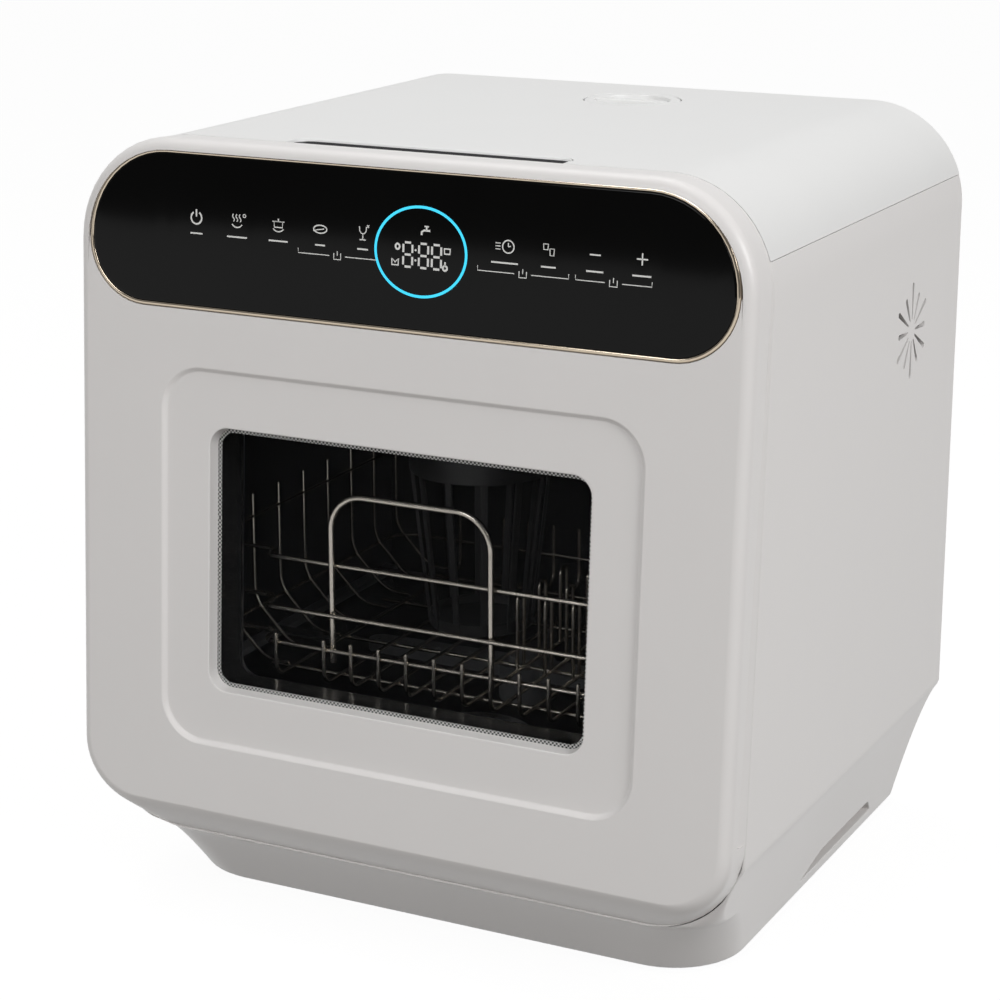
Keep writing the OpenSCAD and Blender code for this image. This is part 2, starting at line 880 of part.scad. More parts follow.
module fill_cap() {
    well_r = cap_r - 7;
    color([0.93, 0.93, 0.92])
        translate([cap_x, cap_y, 0])
            union() {
                difference() {
                    cylinder_between(neck_floor_z + 2 + fit, body_h, cap_r);
                    cylinder_between(body_h - 8, body_h + 1, well_r);
                }
                box(-well_r - 1, well_r + 1, -3, 3, body_h - 9, body_h);
            }
}

module inlet_valve() {
    color([0.9, 0.9, 0.88])
        translate([inlet_x, 0, port_z])
            difference() {
                union() {
                    rod_y(pocket_y - 4, pocket_y + 0.5, 12.6);
                    rod_y(pocket_y + 0.4, y_back - 1.5, 13.1);
                    rod_y(pocket_y - 10, pocket_y - 2 - fit, 17);
                    translate([-11, pocket_y - 32, -(port_z - pan_top - fit)])
                        cube([22, 22, port_z - pan_top + 10]);
                }
                rod_y(y_back - 16, y_back, 9);
            }
}

module drain_spigot() {
    color([0.3, 0.3, 0.32])
        translate([spigot_x, 0, port_z])
            difference() {
                union() {
                    rod_y(pocket_y - 20, pocket_y + 0.5, 8.6);
                    rod_y(pocket_y + 0.4, y_back - 2, 9);
                    rod_y(pocket_y - 6, pocket_y - 2 - fit, 13);
                    translate([-4, pocket_y - 20, -(port_z - pan_top - fit)])
                        cube([8, 12, port_z - pan_top]);
                }
                rod_y(pocket_y - 14, y_back, 6.5);
            }
}

module cord_gland() {
    color([0.08, 0.08, 0.08])
        translate([gland_x, 0, port_z])
            difference() {
                union() {
                    rod_y(y_back - 12, y_back - 0.5, 9);
                    rod_y(y_back - 12, y_back - wall - 4 - fit, 12);
                }
                rod_y(y_back - 13, y_back, 3.6);
            }
}

module power_board() {
    color([0.15, 0.4, 0.2])
        union() {
            box(-150, -95, -60, 10, pan_top + fit, pan_top + 6);
            box(-146, -99, -56, 6, pan_top + 5, pan_top + 30);
        }
}

module fan_housing() {
    color([0.3, 0.3, 0.32])
        translate([0, fan_y, fan_z])
            difference() {
                union() {
                    rod_x(fan_x0, fan_x1, fan_r);
                    translate([fan_x0, 0, -fan_r - 22])
                        cube([fan_x1 - fan_x0, fan_r, 30]);
                }
                rod_x(fan_x0 + 2, fan_x1 + 1, fan_r - 3);
                translate([fan_x0 + 2, 2, -fan_r - 23])
                    cube([fan_x1 - fan_x0 - 4, fan_r - 4, 32]);
                rod_x(fan_x0 - 1, fan_x0 + 3, 2 + run);
            }
}

module fan_rotor() {
    color([0.12, 0.12, 0.12])
        translate([0, fan_y, fan_z]) {
            rod_x(fan_x0, fan_x1 - 8, 2);
            rod_x(fan_x0 + 3, fan_x0 + 16, 9);
            rod_x(fan_x0 + 3, fan_x0 + 5, fan_r - 7);
            for (k = [0 : 11])
                rotate([30 * k, 0, 0])
                    translate([fan_x0 + 4, -0.8, fan_r - 16])
                        cube([14, 1.6, 9]);
        }
}

// ---------- latch and hinges ----------

latch_y = door_y(frame_t + 2.5, latch_s + 22) + fit;

module latch_housing() {
    color([0.2, 0.2, 0.22])
        difference() {
            box(-16, 16, latch_y, latch_y + 30, latch_z - 7, latch_z + 21);
            box(-8, 8, latch_y - 1, latch_y + 26, latch_z - 4, latch_z + 6);
            box(-5.5, 5.5, latch_y + 6, latch_y + 20, latch_z + 5, latch_z + 18);
        }
}

module latch_roller() {
    color([0.75, 0.75, 0.77]) {
        translate([0, latch_y + 13, latch_z + 7.2])
            rod_x(-5, 5, 4);
        box(-3, 3, latch_y + 10, latch_y + 16, latch_z + 8, latch_z + 14);
    }
}

module latch_tongue() {
    color([0.75, 0.75, 0.77]) {
        on_front()
            box(-6, 6, liner_t - 4, door_t + 22, latch_s - 1, latch_s + 1.5);
        on_front()
            box(-12, 12, liner_t - 6, liner_t - fit, latch_s - 9, latch_s + 9);
    }
}

// Steel arms: an eye round each pin, and a goose neck up to the front frame
module hinge_arms() {
    top = frame_z + 5;
    root_y = seam_y(top) + 1.0;
    color([0.6, 0.6, 0.62])
        for (side = [-1, 1])
            translate([side * hinge_x - 3, 0, 0])
                difference() {
                    union() {
                        translate([0, hinge_y, hinge_z])
                            rod_x(0, 6, hinge_eye_r);
                        rotate([90, 0, 90])
                            linear_extrude(6)
                                polygon([[hinge_y - 5.5, hinge_z + 1], [hinge_y + 5.5, hinge_z - 1],
                                    [root_y, frame_z - 2], [root_y, top], [root_y - 7, top]]);
                    }
                    translate([-1, hinge_y, hinge_z])
                        rod_x(0, 8, hinge_pin_r + run);
                }
}

module hinge_brackets() {
    color([0.6, 0.6, 0.62])
        on_front()
            for (side = [-1, 1])
                translate([side * ear_x - 2.5, 0, 0])
                    difference() {
                        union() {
                            translate([0, hinge_t, hinge_s])
                                rod_x(0, 5, hinge_eye_r);
                            box(0, 5, hinge_t - 5.5, liner_t - fit, hinge_s, hinge_s + 62);
                        }
                        translate([-1, hinge_t, hinge_s])
                            rod_x(0, 7, hinge_pin_r + run);
                    }
}

module hinge_pins() {
    color([0.8, 0.8, 0.82])
        on_front()
            for (side = [-1, 1])
                translate([side > 0 ? hinge_x - 5 : -ear_x - 4.5, hinge_t, hinge_s])
                    rod_x(0, ear_x - hinge_x + 9.5, hinge_pin_r);
}

// ---------- door ----------

// Ring of the door's outside at a depth t behind the face; gap moves it inwards
function edge_in(t) = t >= edge_r ? 0 : edge_r - sqrt(edge_r * edge_r - pow(edge_r - t, 2));
function underside(t) = -door_drop * pow(min(1, t / door_t), 0.9);
function door_low_r(t) = face_low_r + (low_r - face_low_r) * min(1, t / door_t);
function door_ring(t, gap) = let (i = edge_in(t) + gap)
    [for (p = outline(hw - i, underside(t) + 0.3 * i + 0.7 * gap, door_top - i,
        door_low_r(t) - gap, top_r - i))
        [p.x, t, p.y]];
edge_steps = [for (k = [0 : 6]) edge_r * (1 - cos(15 * k))];

module control_outline(grow) {
    panel(control_half + grow, control_s - grow, control_s + control_h + grow,
        control_low_r + grow, control_top_r + grow);
}

module window_outline(grow, r = 12) {
    panel(window_w / 2 + grow, window_s - grow, window_s + window_h + grow, r + grow, r + grow);
}

module recess_outline(grow) {
    panel(recess_w / 2 + grow, recess_foot - grow, recess_foot + recess_h + grow, 27 + grow,
        27 + grow);
}

module door_outer() {
    color([0.9, 0.9, 0.89])
        on_front()
            difference() {
                loft([for (t = concat(edge_steps, [door_t / 2, door_t])) door_ring(t, 0)]);
                difference() {
                    loft([for (t = [skin, edge_r / 2, edge_r, door_t, door_t + 1])
                        door_ring(t, skin)]);
                    slab(0, back_plate_t)
                        control_outline(trim_w + 2);
                    slab(0, recess_d + skin)
                        recess_outline(2);
                    slab(0, pane_t - 1)
                        window_outline(skin);
                }
                slab(-1, trim_d)
                    control_outline(trim_w + fit);
                slab(-1, recess_d)
                    recess_outline(0);
                slab(-1, door_t)
                    window_outline(0);
            }
}

module door_liner() {
    color([0.45, 0.46, 0.48])
        on_front()
            difference() {
                union() {
                    slab(liner_t, door_t - 0.5)
                        panel(hw - skin - fit - 0.5, -door_drop + skin + 2.5, door_top - skin - 2,
                            low_r - 3, top_r - 4);
                    slab(liner_t, plug_t)
                        panel(plug_half, plug_s0, plug_s1, 14, 14);
                }
                slab(liner_t - 1, plug_t - 2)
                    panel(plug_half - 2, plug_s0 + 2, plug_s1 - 2, 12, 12);
                slab(liner_t - 1, plug_t + 1)
                    window_outline(-0.5);
                for (side = [-1, 1])
                    box(side > 0 ? hinge_x - 7 : -ear_x - 6, side > 0 ? ear_x + 6 : 7 - hinge_x,
                        liner_t - 1, door_t + 1, -door_drop, hinge_s + 28);
                box(-7, 7, liner_t - 1, door_t + 1, latch_s - 2, latch_s + 2.5);
                box(dispenser_x - 33, dispenser_x + 33, plug_t - 4, plug_t + 1,
                    dispenser_s - 13, dispenser_s + 13);
            }
}

module control_glass() {
    color([0.03, 0.03, 0.03])
        on_front()
            slab(0, trim_d - fit)
                control_outline(-fit / 2);
}

module control_trim() {
    color([0.5, 0.42, 0.3])
        on_front()
            slab(0.2, trim_d - fit)
                difference() {
                    control_outline(trim_w);
                    control_outline(fit / 2);
                }
}

module display_module() {
    color([0.1, 0.1, 0.1])
        on_front()
            box(-28, 58, back_plate_t + fit, back_plate_t + 5.5, board_s - 26, board_s + 26);
}

module control_board() {
    color([0.1, 0.35, 0.2])
        on_front()
            union() {
                box(-150, 165, back_plate_t + 5.8, back_plate_t + 7.4, board_s - 28, board_s + 28);
                for (x = [-120, -60, 90, 140])
                    box(x, x + 22, back_plate_t + 7, back_plate_t + 13, board_s - 10, board_s + 8);
                for (x = [-140, 150])
                    box(x, x + 6, back_plate_t + fit, back_plate_t + 6, board_s - 4, board_s + 4);
            }
}

module window_outer() {
    color([0.2, 0.2, 0.2, 0.4])
        on_front()
            slab(pane_t, pane_t + pane_w)
                window_outline(9);
}

module window_seal() {
    color([0.08, 0.08, 0.08])
        on_front()
            slab(pane_t - 1 + 0.1, pane_t - 0.1)
                difference() {
                    window_outline(8);
                    window_outline(0.5);
                }
}

module window_sleeve() {
    color([0.16, 0.16, 0.17])
        on_front()
            difference() {
                union() {
                    slab(pane_t + pane_w + 0.1, pane_t + pane_w + 2)
                        window_outline(9);
                    slab(pane_t + pane_w + 0.1, inner_pane_t - 0.1)
                        window_outline(2);
                }
                slab(pane_t, plug_t)
                    window_outline(-1);
            }
}

module window_inner() {
    color([0.2, 0.2, 0.2, 0.4])
        on_front()
            slab(inner_pane_t, plug_t - 2.1)
                window_outline(4);
}

dispenser_x = 60;
dispenser_s = (plug_s0 + window_s) / 2 - 1;

module dispenser_cup() {
    color([0.75, 0.76, 0.78])
        on_front()
            difference() {
                box(dispenser_x - 32.7, dispenser_x + 32.7, door_t, plug_t,
                    dispenser_s - 12.7, dispenser_s + 12.7);
                box(dispenser_x - 30, dispenser_x + 6, door_t + 2, plug_t + 1,
                    dispenser_s - 10, dispenser_s + 10);
            }
}

module dispenser_lid() {
    color([0.55, 0.56, 0.58])
        on_front() {
            box(dispenser_x - 32, dispenser_x + 9, plug_t + fit, plug_t + 2,
                dispenser_s - 12, dispenser_s + 12);
            box(dispenser_x + 2, dispenser_x + 5, plug_t + 1, plug_t + 3.5,
                dispenser_s - 8, dispenser_s + 8);
        }
}

// ---------- rack ----------

// One front rail: along the front, round both corners, back, and out to the sides
side_y0 = jog_y + rail_r + wire_r + fit;
function rail_path(z) = bent([[-rack_side, jog_y, z], [-rack_front - 1, jog_y, z],
    [-rack_front, rail_y, z], [rack_front, rail_y, z], [rack_front + 1, jog_y, z],
    [rack_side, jog_y, z]], 8, 4);

module rack_rails() {
    color([0.8, 0.8, 0.8])
        for (z = rail_z)
            wire(rail_path(z), rail_r, [0, 0, 1], 8);
}

module rack_handle() {
    y = rail_y - rail_r - handle_r - fit;
    color([0.8, 0.8, 0.8])
        wire(bent([[handle_x[0], y, rail_z[1] - 8], [handle_x[0], y, handle_z],
            [handle_x[1], y, handle_z], [handle_x[1], y, rail_z[1] - 8]], 22, 6),
            handle_r, [0, 1, 0], 8);
}

// Side wire: down from the rim, and round inwards to the floor
function side_wire(side, y) = bent([[side * rack_side, y, rim_z + 14],
    [side * rack_side, y, rack_z + 26], [side * (rack_side - 26), y, rack_z],
    [side * (rack_side - 42), y, rack_z]], 22, 4);

module rack_frame() {
    y0 = side_y0 - wire_r;
    rim = [[-rack_side, y0, rim_z], [-rack_side, rack_back, rim_z]];
    middle = (floor_wires - 1) / 2;
    color([0.75, 0.75, 0.76]) {
        for (side = [-1, 1]) {
            wire([for (p = rim) [side * p.x, p.y, p.z]], wire_r, [0, 0, 1]);
            for (k = [0 : 7])
                wire(side_wire(side, side_y0 + (rack_back - side_y0 - 3) * k / 7), wire_r,
                    [0, 1, 0]);
        }
        wire(bent([[-rack_side, y0, back_rim_z], [-rack_side, rack_back, back_rim_z],
            [rack_side, rack_back, back_rim_z], [rack_side, y0, back_rim_z]], 18, 4),
            wire_r, [0, 0, 1]);
        for (x = concat([10.5 - rack_front, rack_front - 10.5],
                [for (k = [0 : floor_wires - 1]) floor_pitch * (k - middle)]))
            wire(bent([[x, rack_y, rail_z[0] + 6], [x, rack_y, rack_z],
                [x, rack_back + 0.5, rack_z], [x, rack_back + 0.5, back_rim_z + 20]], 8, 3),
                wire_r, [1, 0, 0]);
        for (y = [rack_y + 24, -38, 38, rack_back - 14])
            wire([[-rack_side + 30, y, rack_z - 2], [rack_side - 30, y, rack_z - 2]], wire_r,
                [0, 0, 1]);
    }
}

tine_rows = [-52, -22, 8];
tine_count = (floor_wires - 1) / 2;

module rack_tines() {
    color([0.75, 0.75, 0.76])
        for (y = tine_rows, k = [0 : tine_count - 1])
            let (x = floor_pitch * (k + 1), foot = rack_z + wire_r + fit)
                wire(bent([[x, y, foot], [x, y, rack_z + 48], [x, y + 9, rack_z + 48],
                    [x, y + 9, foot]], 4, 3), wire_r, [1, 0, 0]);
}

module rack_glides() {
    color([0.25, 0.25, 0.27])
        for (side = [-1, 1], y = [-38, rack_back - 14])
            translate([side * (rack_side - 13), y, runner_top + fit + 1])
                cube([48, 10, 2], center = true);
}

module cutlery_basket() {
    slats = 12;
    low_z = rack_z + wire_r + fit;
    top_z = low_z + basket_h;
    color([0.14, 0.14, 0.15])
        translate([basket_x, basket_y, 0]) {
            difference() {
                cylinder_between(top_z - 16, top_z, basket_r);
                cylinder_between(top_z - 17, top_z + 1, basket_r - 2.5);
            }
            difference() {
                cylinder_between(low_z, low_z + 8, basket_r - 12);
                cylinder_between(low_z + 2, low_z + 9, basket_r - 14);
            }
            for (k = [0 : slats - 1])
                rotate(360 * k / slats)
                    rotate([90, 0, 0])
                        translate([0, 0, -2])
                            linear_extrude(4)
                                polygon([[basket_r - 14, low_z + 1], [basket_r - 12, low_z + 1],
                                    [basket_r, top_z - 15], [basket_r - 2.5, top_z - 15]]);
        }
}

body_shell();
top_cover();
back_panel();
base_pan();
rubber_feet();
front_frame();
tub();
tub_gasket();
rack_runners();
sump();
filter_plate();
spray_hub();
pump_housing();
pump_motor();
drain_pump_body();
heater();
hoses();
water_tank();
filler_neck();
cap_seat();
inlet_valve();
drain_spigot();
cord_gland();
power_board();
upper_hub();
riser_pipe();
filter_cylinder();
fan_housing();
latch_housing();
hinge_arms();
case_screws();
door_outer();
door_liner();
control_glass();
control_trim();
display_module();
control_board();
window_outer();
window_seal();
window_sleeve();
window_inner();
hinge_brackets();
hinge_pins();
latch_tongue();
dispenser_cup();
dispenser_lid();
rack_frame();
rack_rails();
rack_handle();
rack_tines();
rack_glides();
cutlery_basket();
lower_spray_arm();
upper_spray_arm();
wash_impeller();
drain_impeller();
fan_rotor();
cap_seal();
fill_cap();
latch_roller();
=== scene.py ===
# %% [markdown]
# # A countertop dishwasher, dressed around its CAD frame
#
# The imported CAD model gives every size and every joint. This lesson leaves that frame where it is,
# gives each CAD part a finish, and stands smoother surfaces in for the parts that show most: the door,
# the casing, the top cover, the control glass, the rack and the basket. Each new surface is worked out
# as a whole array of points with numpy, in millimetres, and turned to metres when its mesh is made.

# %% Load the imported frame
import math

import bmesh
import bpy
import numpy as np
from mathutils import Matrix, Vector
from mathutils.geometry import delaunay_2d_cdt


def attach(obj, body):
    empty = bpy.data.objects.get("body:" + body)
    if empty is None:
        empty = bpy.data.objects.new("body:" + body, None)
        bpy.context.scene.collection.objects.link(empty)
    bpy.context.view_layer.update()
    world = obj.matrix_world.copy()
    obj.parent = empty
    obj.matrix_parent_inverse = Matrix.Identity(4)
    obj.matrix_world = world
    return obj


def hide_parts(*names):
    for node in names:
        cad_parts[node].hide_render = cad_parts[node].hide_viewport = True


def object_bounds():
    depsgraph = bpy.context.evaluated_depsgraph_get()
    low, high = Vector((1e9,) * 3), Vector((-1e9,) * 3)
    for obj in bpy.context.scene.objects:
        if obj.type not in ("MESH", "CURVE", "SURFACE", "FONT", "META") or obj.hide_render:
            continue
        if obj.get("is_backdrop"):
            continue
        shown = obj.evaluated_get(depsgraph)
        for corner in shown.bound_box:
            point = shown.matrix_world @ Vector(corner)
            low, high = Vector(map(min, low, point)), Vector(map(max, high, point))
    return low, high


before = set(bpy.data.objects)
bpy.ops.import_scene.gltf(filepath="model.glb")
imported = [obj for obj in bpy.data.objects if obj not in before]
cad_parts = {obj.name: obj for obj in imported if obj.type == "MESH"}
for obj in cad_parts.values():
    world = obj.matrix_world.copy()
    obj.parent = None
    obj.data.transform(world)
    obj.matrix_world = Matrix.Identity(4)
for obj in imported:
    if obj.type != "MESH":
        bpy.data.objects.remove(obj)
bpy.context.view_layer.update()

# %% [markdown]
# ## The camera
#
# The photograph looks down at the front right corner from about 1.7 metres with a long lens. A long
# lens keeps the sides nearly parallel. The camera is made first, because every later choice of light
# and detail is judged through it.

# %% Camera
CAMERA_PLACE = (0.695, -1.4107, 0.6848)
CAMERA_TURN = math.radians(26.86)
CAMERA_DROP = math.radians(16.06)
LENS = 95.67

camera_data = bpy.data.cameras.new("camera")
camera_data.lens = LENS
camera = bpy.data.objects.new("camera", camera_data)
camera.location = CAMERA_PLACE
camera.rotation_euler = (math.pi / 2 - CAMERA_DROP, 0.0, CAMERA_TURN)
bpy.context.scene.collection.objects.link(camera)
bpy.context.scene.camera = camera
bpy.context.scene.view_settings.view_transform = "Standard"
print("camera at", CAMERA_PLACE)

# %% [markdown]
# ## Sizes that the surfaces share
#
# These are the CAD model's own sizes in millimetres, named once. The door has its own frame: x across,
# t behind the face, and s up along the face, which leans back a little.

# %% Shared sizes
HALF, TOP, FRONT, BACK = 210.0, 465.0, -185.0, 185.0
TOP_R, LOW_R, FOOT = 61.0, 58.0, 2.0
LEAN = math.radians(3.6)
FACE_Z, DOOR_T, DROP, EDGE_R, FACE_LOW_R = 71.0, 25.0, 22.5, 7.0, 33.0
SEAM = 0.8
TAPER_Z, SIDE_DRAW, FRONT_DRAW, PLINTH_R = 88.0, 30.0, 36.0, 45.0
COVER_Z = TOP - 0.7 * TOP_R
DOOR_TOP = (TOP - FACE_Z + DOOR_T * math.sin(LEAN)) / math.cos(LEAN)
LIP_Z = FACE_Z - DOOR_T * math.sin(LEAN) - DROP * math.cos(LEAN) - SEAM
RECESS = (153.0, 41.5, 267.5, 27.0)
WINDOW = (121.0, 76.0, 233.0, 12.0)
PANEL = (199.5, DOOR_TOP - 94.1, DOOR_TOP - 8.1, 34.5, 50.5)
TRIM = 2.6
FAN_Y, FAN_Z = 94.0, 341.0
CAP_X, CAP_Y, CAP_R = 13.0, 120.0, 30.6


def on_door(x, t, s):
    """World points of the door's frame.

    y is the foot of the face plus t cos(lean) plus s sin(lean);
    z is the foot of the face less t sin(lean) plus s cos(lean).
    """
    x, t, s = np.broadcast_arrays(np.asarray(x, float), t, s)
    return np.stack([x, FRONT + t * math.cos(LEAN) + s * math.sin(LEAN),
                     FACE_Z - t * math.sin(LEAN) + s * math.cos(LEAN)], -1)


def seam_y(z):
    """The plane between door and casing: y at a height z."""
    return FRONT + (DOOR_T + SEAM) / math.cos(LEAN) + (z - FACE_Z) * math.tan(LEAN)


print("door top at s =", round(DOOR_TOP, 2), "lip at z =", round(LIP_Z, 2))

# %% [markdown]
# ## From arrays to meshes
#
# A grid of points becomes a skin of quads. A flat plate between outlines, such as the door's face round
# its window, is filled by a constrained Delaunay triangulation, which takes any outline and any hole.
# `piece` joins such parts, welds the points that they share, turns all faces outwards and marks the
# edges that stay sharp.

# %% Skins, plates and pieces
MM = 0.001


def skin(points, around=False, keep=None):
    """Quads between neighbours of a (rows, columns, 3) array.

    around joins the last column to the first, and keep is a mask of the quads that stay.
    """
    rows, columns = points.shape[:2]
    index = np.arange(rows * columns).reshape(rows, columns)
    if around:
        index = np.hstack([index, index[:, :1]])
    quads = np.stack([index[:-1, :-1], index[:-1, 1:], index[1:, 1:], index[1:, :-1]], -1)
    quads = quads[keep] if keep is not None else quads.reshape(-1, 4)
    return points.reshape(-1, 3), quads


def plate(place, *loops):
    """Triangles between a flat outline and its holes; place turns flat (a, b) points into world points."""
    flat = np.concatenate(loops)
    starts = np.cumsum([0] + [len(loop) for loop in loops])
    rings = [list(range(a, b)) for a, b in zip(starts, starts[1:])]
    points, _, faces = delaunay_2d_cdt([Vector(p) for p in flat.tolist()], [], rings, 2, 1e-5)[:3]
    points = np.array([tuple(p) for p in points])
    return place(points[:, 0], points[:, 1]), np.array(faces)


def tidy(mesh, sharp, turn=True):
    """Welds shared points, turns the faces outwards and keeps edges sharper than an angle."""
    work = bmesh.new()
    work.from_mesh(mesh)
    bmesh.ops.remove_doubles(work, verts=work.verts, dist=2e-6)
    bmesh.ops.dissolve_degenerate(work, edges=work.edges, dist=1e-7)
    if turn:
        bmesh.ops.recalc_face_normals(work, faces=work.faces)
    work.to_mesh(mesh)
    work.free()
    mesh.polygons.foreach_set("use_smooth", [True] * len(mesh.polygons))
    mesh.set_sharp_from_angle(angle=math.radians(sharp))


def piece(name, parts, body, finishes, replaces=(), sharp=32, wall=0.0):
    """One mesh object from (points, faces[, finish number]) parts in millimetres, riding on a CAD body.

    wall is the thickness given to an open skin, inwards from its face.
    """
    points, faces, finish, start = [], [], [], 0
    for part in parts:
        points.append(np.asarray(part[0], float).reshape(-1, 3))
        faces += (np.asarray(part[1]) + start).tolist()
        finish += [part[2] if len(part) > 2 else 0] * len(part[1])
        start += len(points[-1])
    mesh = bpy.data.meshes.new(name)
    mesh.from_pydata((np.concatenate(points) * MM).tolist(), [], faces)
    for material in finishes:
        mesh.materials.append(material)
    mesh.polygons.foreach_set("material_index", finish)
    tidy(mesh, sharp)
    made = bpy.data.objects.new(name, mesh)
    bpy.context.scene.collection.objects.link(made)
    if wall:
        thick = made.modifiers.new("wall", "SOLIDIFY")
        thick.thickness, thick.offset = wall * MM, -1.0
        solid = bpy.data.meshes.new_from_object(made.evaluated_get(bpy.context.evaluated_depsgraph_get()))
        made.modifiers.clear()
        made.data = solid
        solid.name = name
        tidy(solid, sharp, turn=False)
    flats = made.modifiers.new("flats", "WEIGHTED_NORMAL")
    flats.keep_sharp = True
    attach(made, body)
    if replaces:
        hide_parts(*replaces)
    print(f"{name}: {len(made.data.vertices)} points, {len(made.data.polygons)} faces, on {body}")


# %% [markdown]
# ## Finishes
#
# Every finish starts from one Principled surface. Moulded plastic is never quite even, so a slow noise
# shifts its colour a little, a second one shifts its gloss, and a fine one gives it a faint grain. All
# of them read Object coordinates, and each piece's object sits at the origin, so the pattern stays with
# the piece when its body moves.

# %% A finish from colour, gloss and grain
def finish(name, colour, rough, metal=0.0, mottle=0.03, patch=18.0, grain=0.0, grain_size=900.0,
           specular=0.5, stretch=(1, 1, 1), **more):
    """Principled surface whose colour and gloss drift by a noise of `patch` waves a metre.

    grain is the height in metres of a finer noise that bumps the surface.
    """
    material = bpy.data.materials.new(name)
    material.use_nodes = True
    nodes, links = material.node_tree.nodes, material.node_tree.links
    shader = nodes["Principled BSDF"]
    shader.inputs["Metallic"].default_value = metal
    shader.inputs["Specular IOR Level"].default_value = specular
    shader.inputs["Roughness"].default_value = rough
    for socket, value in more.items():
        shader.inputs[socket.replace("_", " ")].default_value = value
    place = nodes.new("ShaderNodeTexCoord")
    mapping = nodes.new("ShaderNodeMapping")
    mapping.inputs["Scale"].default_value = stretch
    links.new(place.outputs["Object"], mapping.inputs["Vector"])

    def noise(scale, detail):
        made = nodes.new("ShaderNodeTexNoise")
        made.inputs["Scale"].default_value, made.inputs["Detail"].default_value = scale, detail
        links.new(mapping.outputs["Vector"], made.inputs["Vector"])
        return made

    drift = noise(patch, 3.0)
    ramp = nodes.new("ShaderNodeValToRGB")
    for element, share, shade in zip(ramp.color_ramp.elements, (0.3, 0.7), (1 - mottle, 1 + mottle)):
        element.position = share
        element.color = (*[min(1.0, c * shade) for c in colour[:3]], 1.0)
    links.new(drift.outputs["Fac"], ramp.inputs["Fac"])
    links.new(ramp.outputs["Color"], shader.inputs["Base Color"])
    spread = nodes.new("ShaderNodeMapRange")
    spread.inputs["To Min"].default_value = rough * 0.9
    spread.inputs["To Max"].default_value = min(1.0, rough * 1.1 + 0.01)
    links.new(drift.outputs["Fac"], spread.inputs["Value"])
    links.new(spread.outputs["Result"], shader.inputs["Roughness"])
    if grain:
        fine = noise(grain_size, 2.0)
        bump = nodes.new("ShaderNodeBump")
        bump.inputs["Distance"].default_value = grain
        bump.inputs["Strength"].default_value = 0.5
        links.new(fine.outputs["Fac"], bump.inputs["Height"])
        links.new(bump.outputs["Normal"], shader.inputs["Normal"])
    return material


WHITE = finish("white_moulding", (0.82, 0.80, 0.79), 0.34, mottle=0.006, grain=0.00002)
# The cover and the cap take a lighter copy of the white moulding: painted light that makes the top brighter
# than the sides.
WHITE_LIT_TOP = finish("white_top", (0.86, 0.86, 0.855), 0.34, mottle=0.006, grain=0.00002)
SHADE_GREY = finish("grey_frame", (0.42, 0.42, 0.43), 0.5, grain=0.00004)
STEEL = finish("stainless", (0.55, 0.55, 0.56), 0.28, 1.0, 0.04, 30, 0.00003, 240, stretch=(1, 14, 1))
LINER = finish("liner_grey", (0.50, 0.51, 0.53), 0.34, 1.0, 0.04, 30, 0.00003, 240, stretch=(14, 1, 1))
# The tub's inside is coloured near-black: painted shade for the dim inside of the tub behind the window.
SHADED_TUB = finish("tub_painted_shade", (0.010, 0.010, 0.011), 0.5, 0.0, 0.08, 12, 0.00003, specular=0.3)
ZINC = finish("zinc_plate", (0.60, 0.61, 0.63), 0.38, 1.0, 0.10, 60, 0.00003)
RUBBER = finish("foot_rubber", (0.03, 0.03, 0.03), 0.75, 0.0, 0.12, 60, 0.00006)
SEAL = finish("seal_rubber", (0.035, 0.035, 0.037), 0.62, 0.0, 0.1, 60, 0.00004)
GREY = finish("grey_plastic", (0.16, 0.165, 0.17), 0.45, 0.0, 0.06, 40, 0.00004)
DARK = finish("dark_plastic", (0.028, 0.028, 0.031), 0.42, 0.0, 0.10, 40, 0.00004)
CAN = finish("motor_steel", (0.30, 0.31, 0.33), 0.42, 0.6, 0.08, 60, 0.00003)
TANK = finish("tank_plastic", (0.70, 0.74, 0.78), 0.4, 0.0, 0.03, 20, 0.00003)
BOARD = finish("board_green", (0.02, 0.12, 0.05), 0.4, 0.0, 0.15, 120, 0.00003)
PALE = finish("impeller_plastic", (0.62, 0.61, 0.56), 0.45, 0.0, 0.05, 60, 0.00003)
WIRE = finish("rack_wire", (0.82, 0.76, 0.68), 0.24, 1.0, 0.05, 80, 0.00002)
BASKET = finish("basket_plastic", (0.045, 0.045, 0.047), 0.4, 0.0, 0.1, 60, 0.00004)
GLASS = finish("black_glass", (0.0012, 0.0012, 0.0011), 0.05, 0.0, 0.3, 10, specular=0.16)
BRONZE = finish("bronze_trim", (0.55, 0.47, 0.37), 0.12, 1.0, 0.04, 50, 0.00001)
PANE = finish("smoked_glass", (0.004, 0.004, 0.004), 0.03, 0.0, 0.2, 10, specular=0.1, Alpha=0.1)
SLEEVE = finish("window_sleeve", (0.014, 0.014, 0.0145), 0.16, 0.0, 0.1, 20, specular=0.35)
INK = finish("white_ink", (0.82, 0.82, 0.80), 0.5, 0.0, 0.02, 200)
GLOW = finish("lit_ring", (0.04, 0.45, 0.62), 0.4, 0.0, 0.05, 60, Emission_Color=(0.03, 0.62, 0.90, 1),
              Emission_Strength=0.75)
print(len(bpy.data.materials), "finishes")

# %% [markdown]
# ## Outlines
#
# Nearly every edge on this machine is a rounded rectangle. One function draws it with the same number
# of points each time, so that two of them can be joined by a skin even when their radii differ.

# %% Rounded outlines
QUARTER = 13      # points of one rounded corner
ACROSS = 9        # points between two corners, along the top and the foot


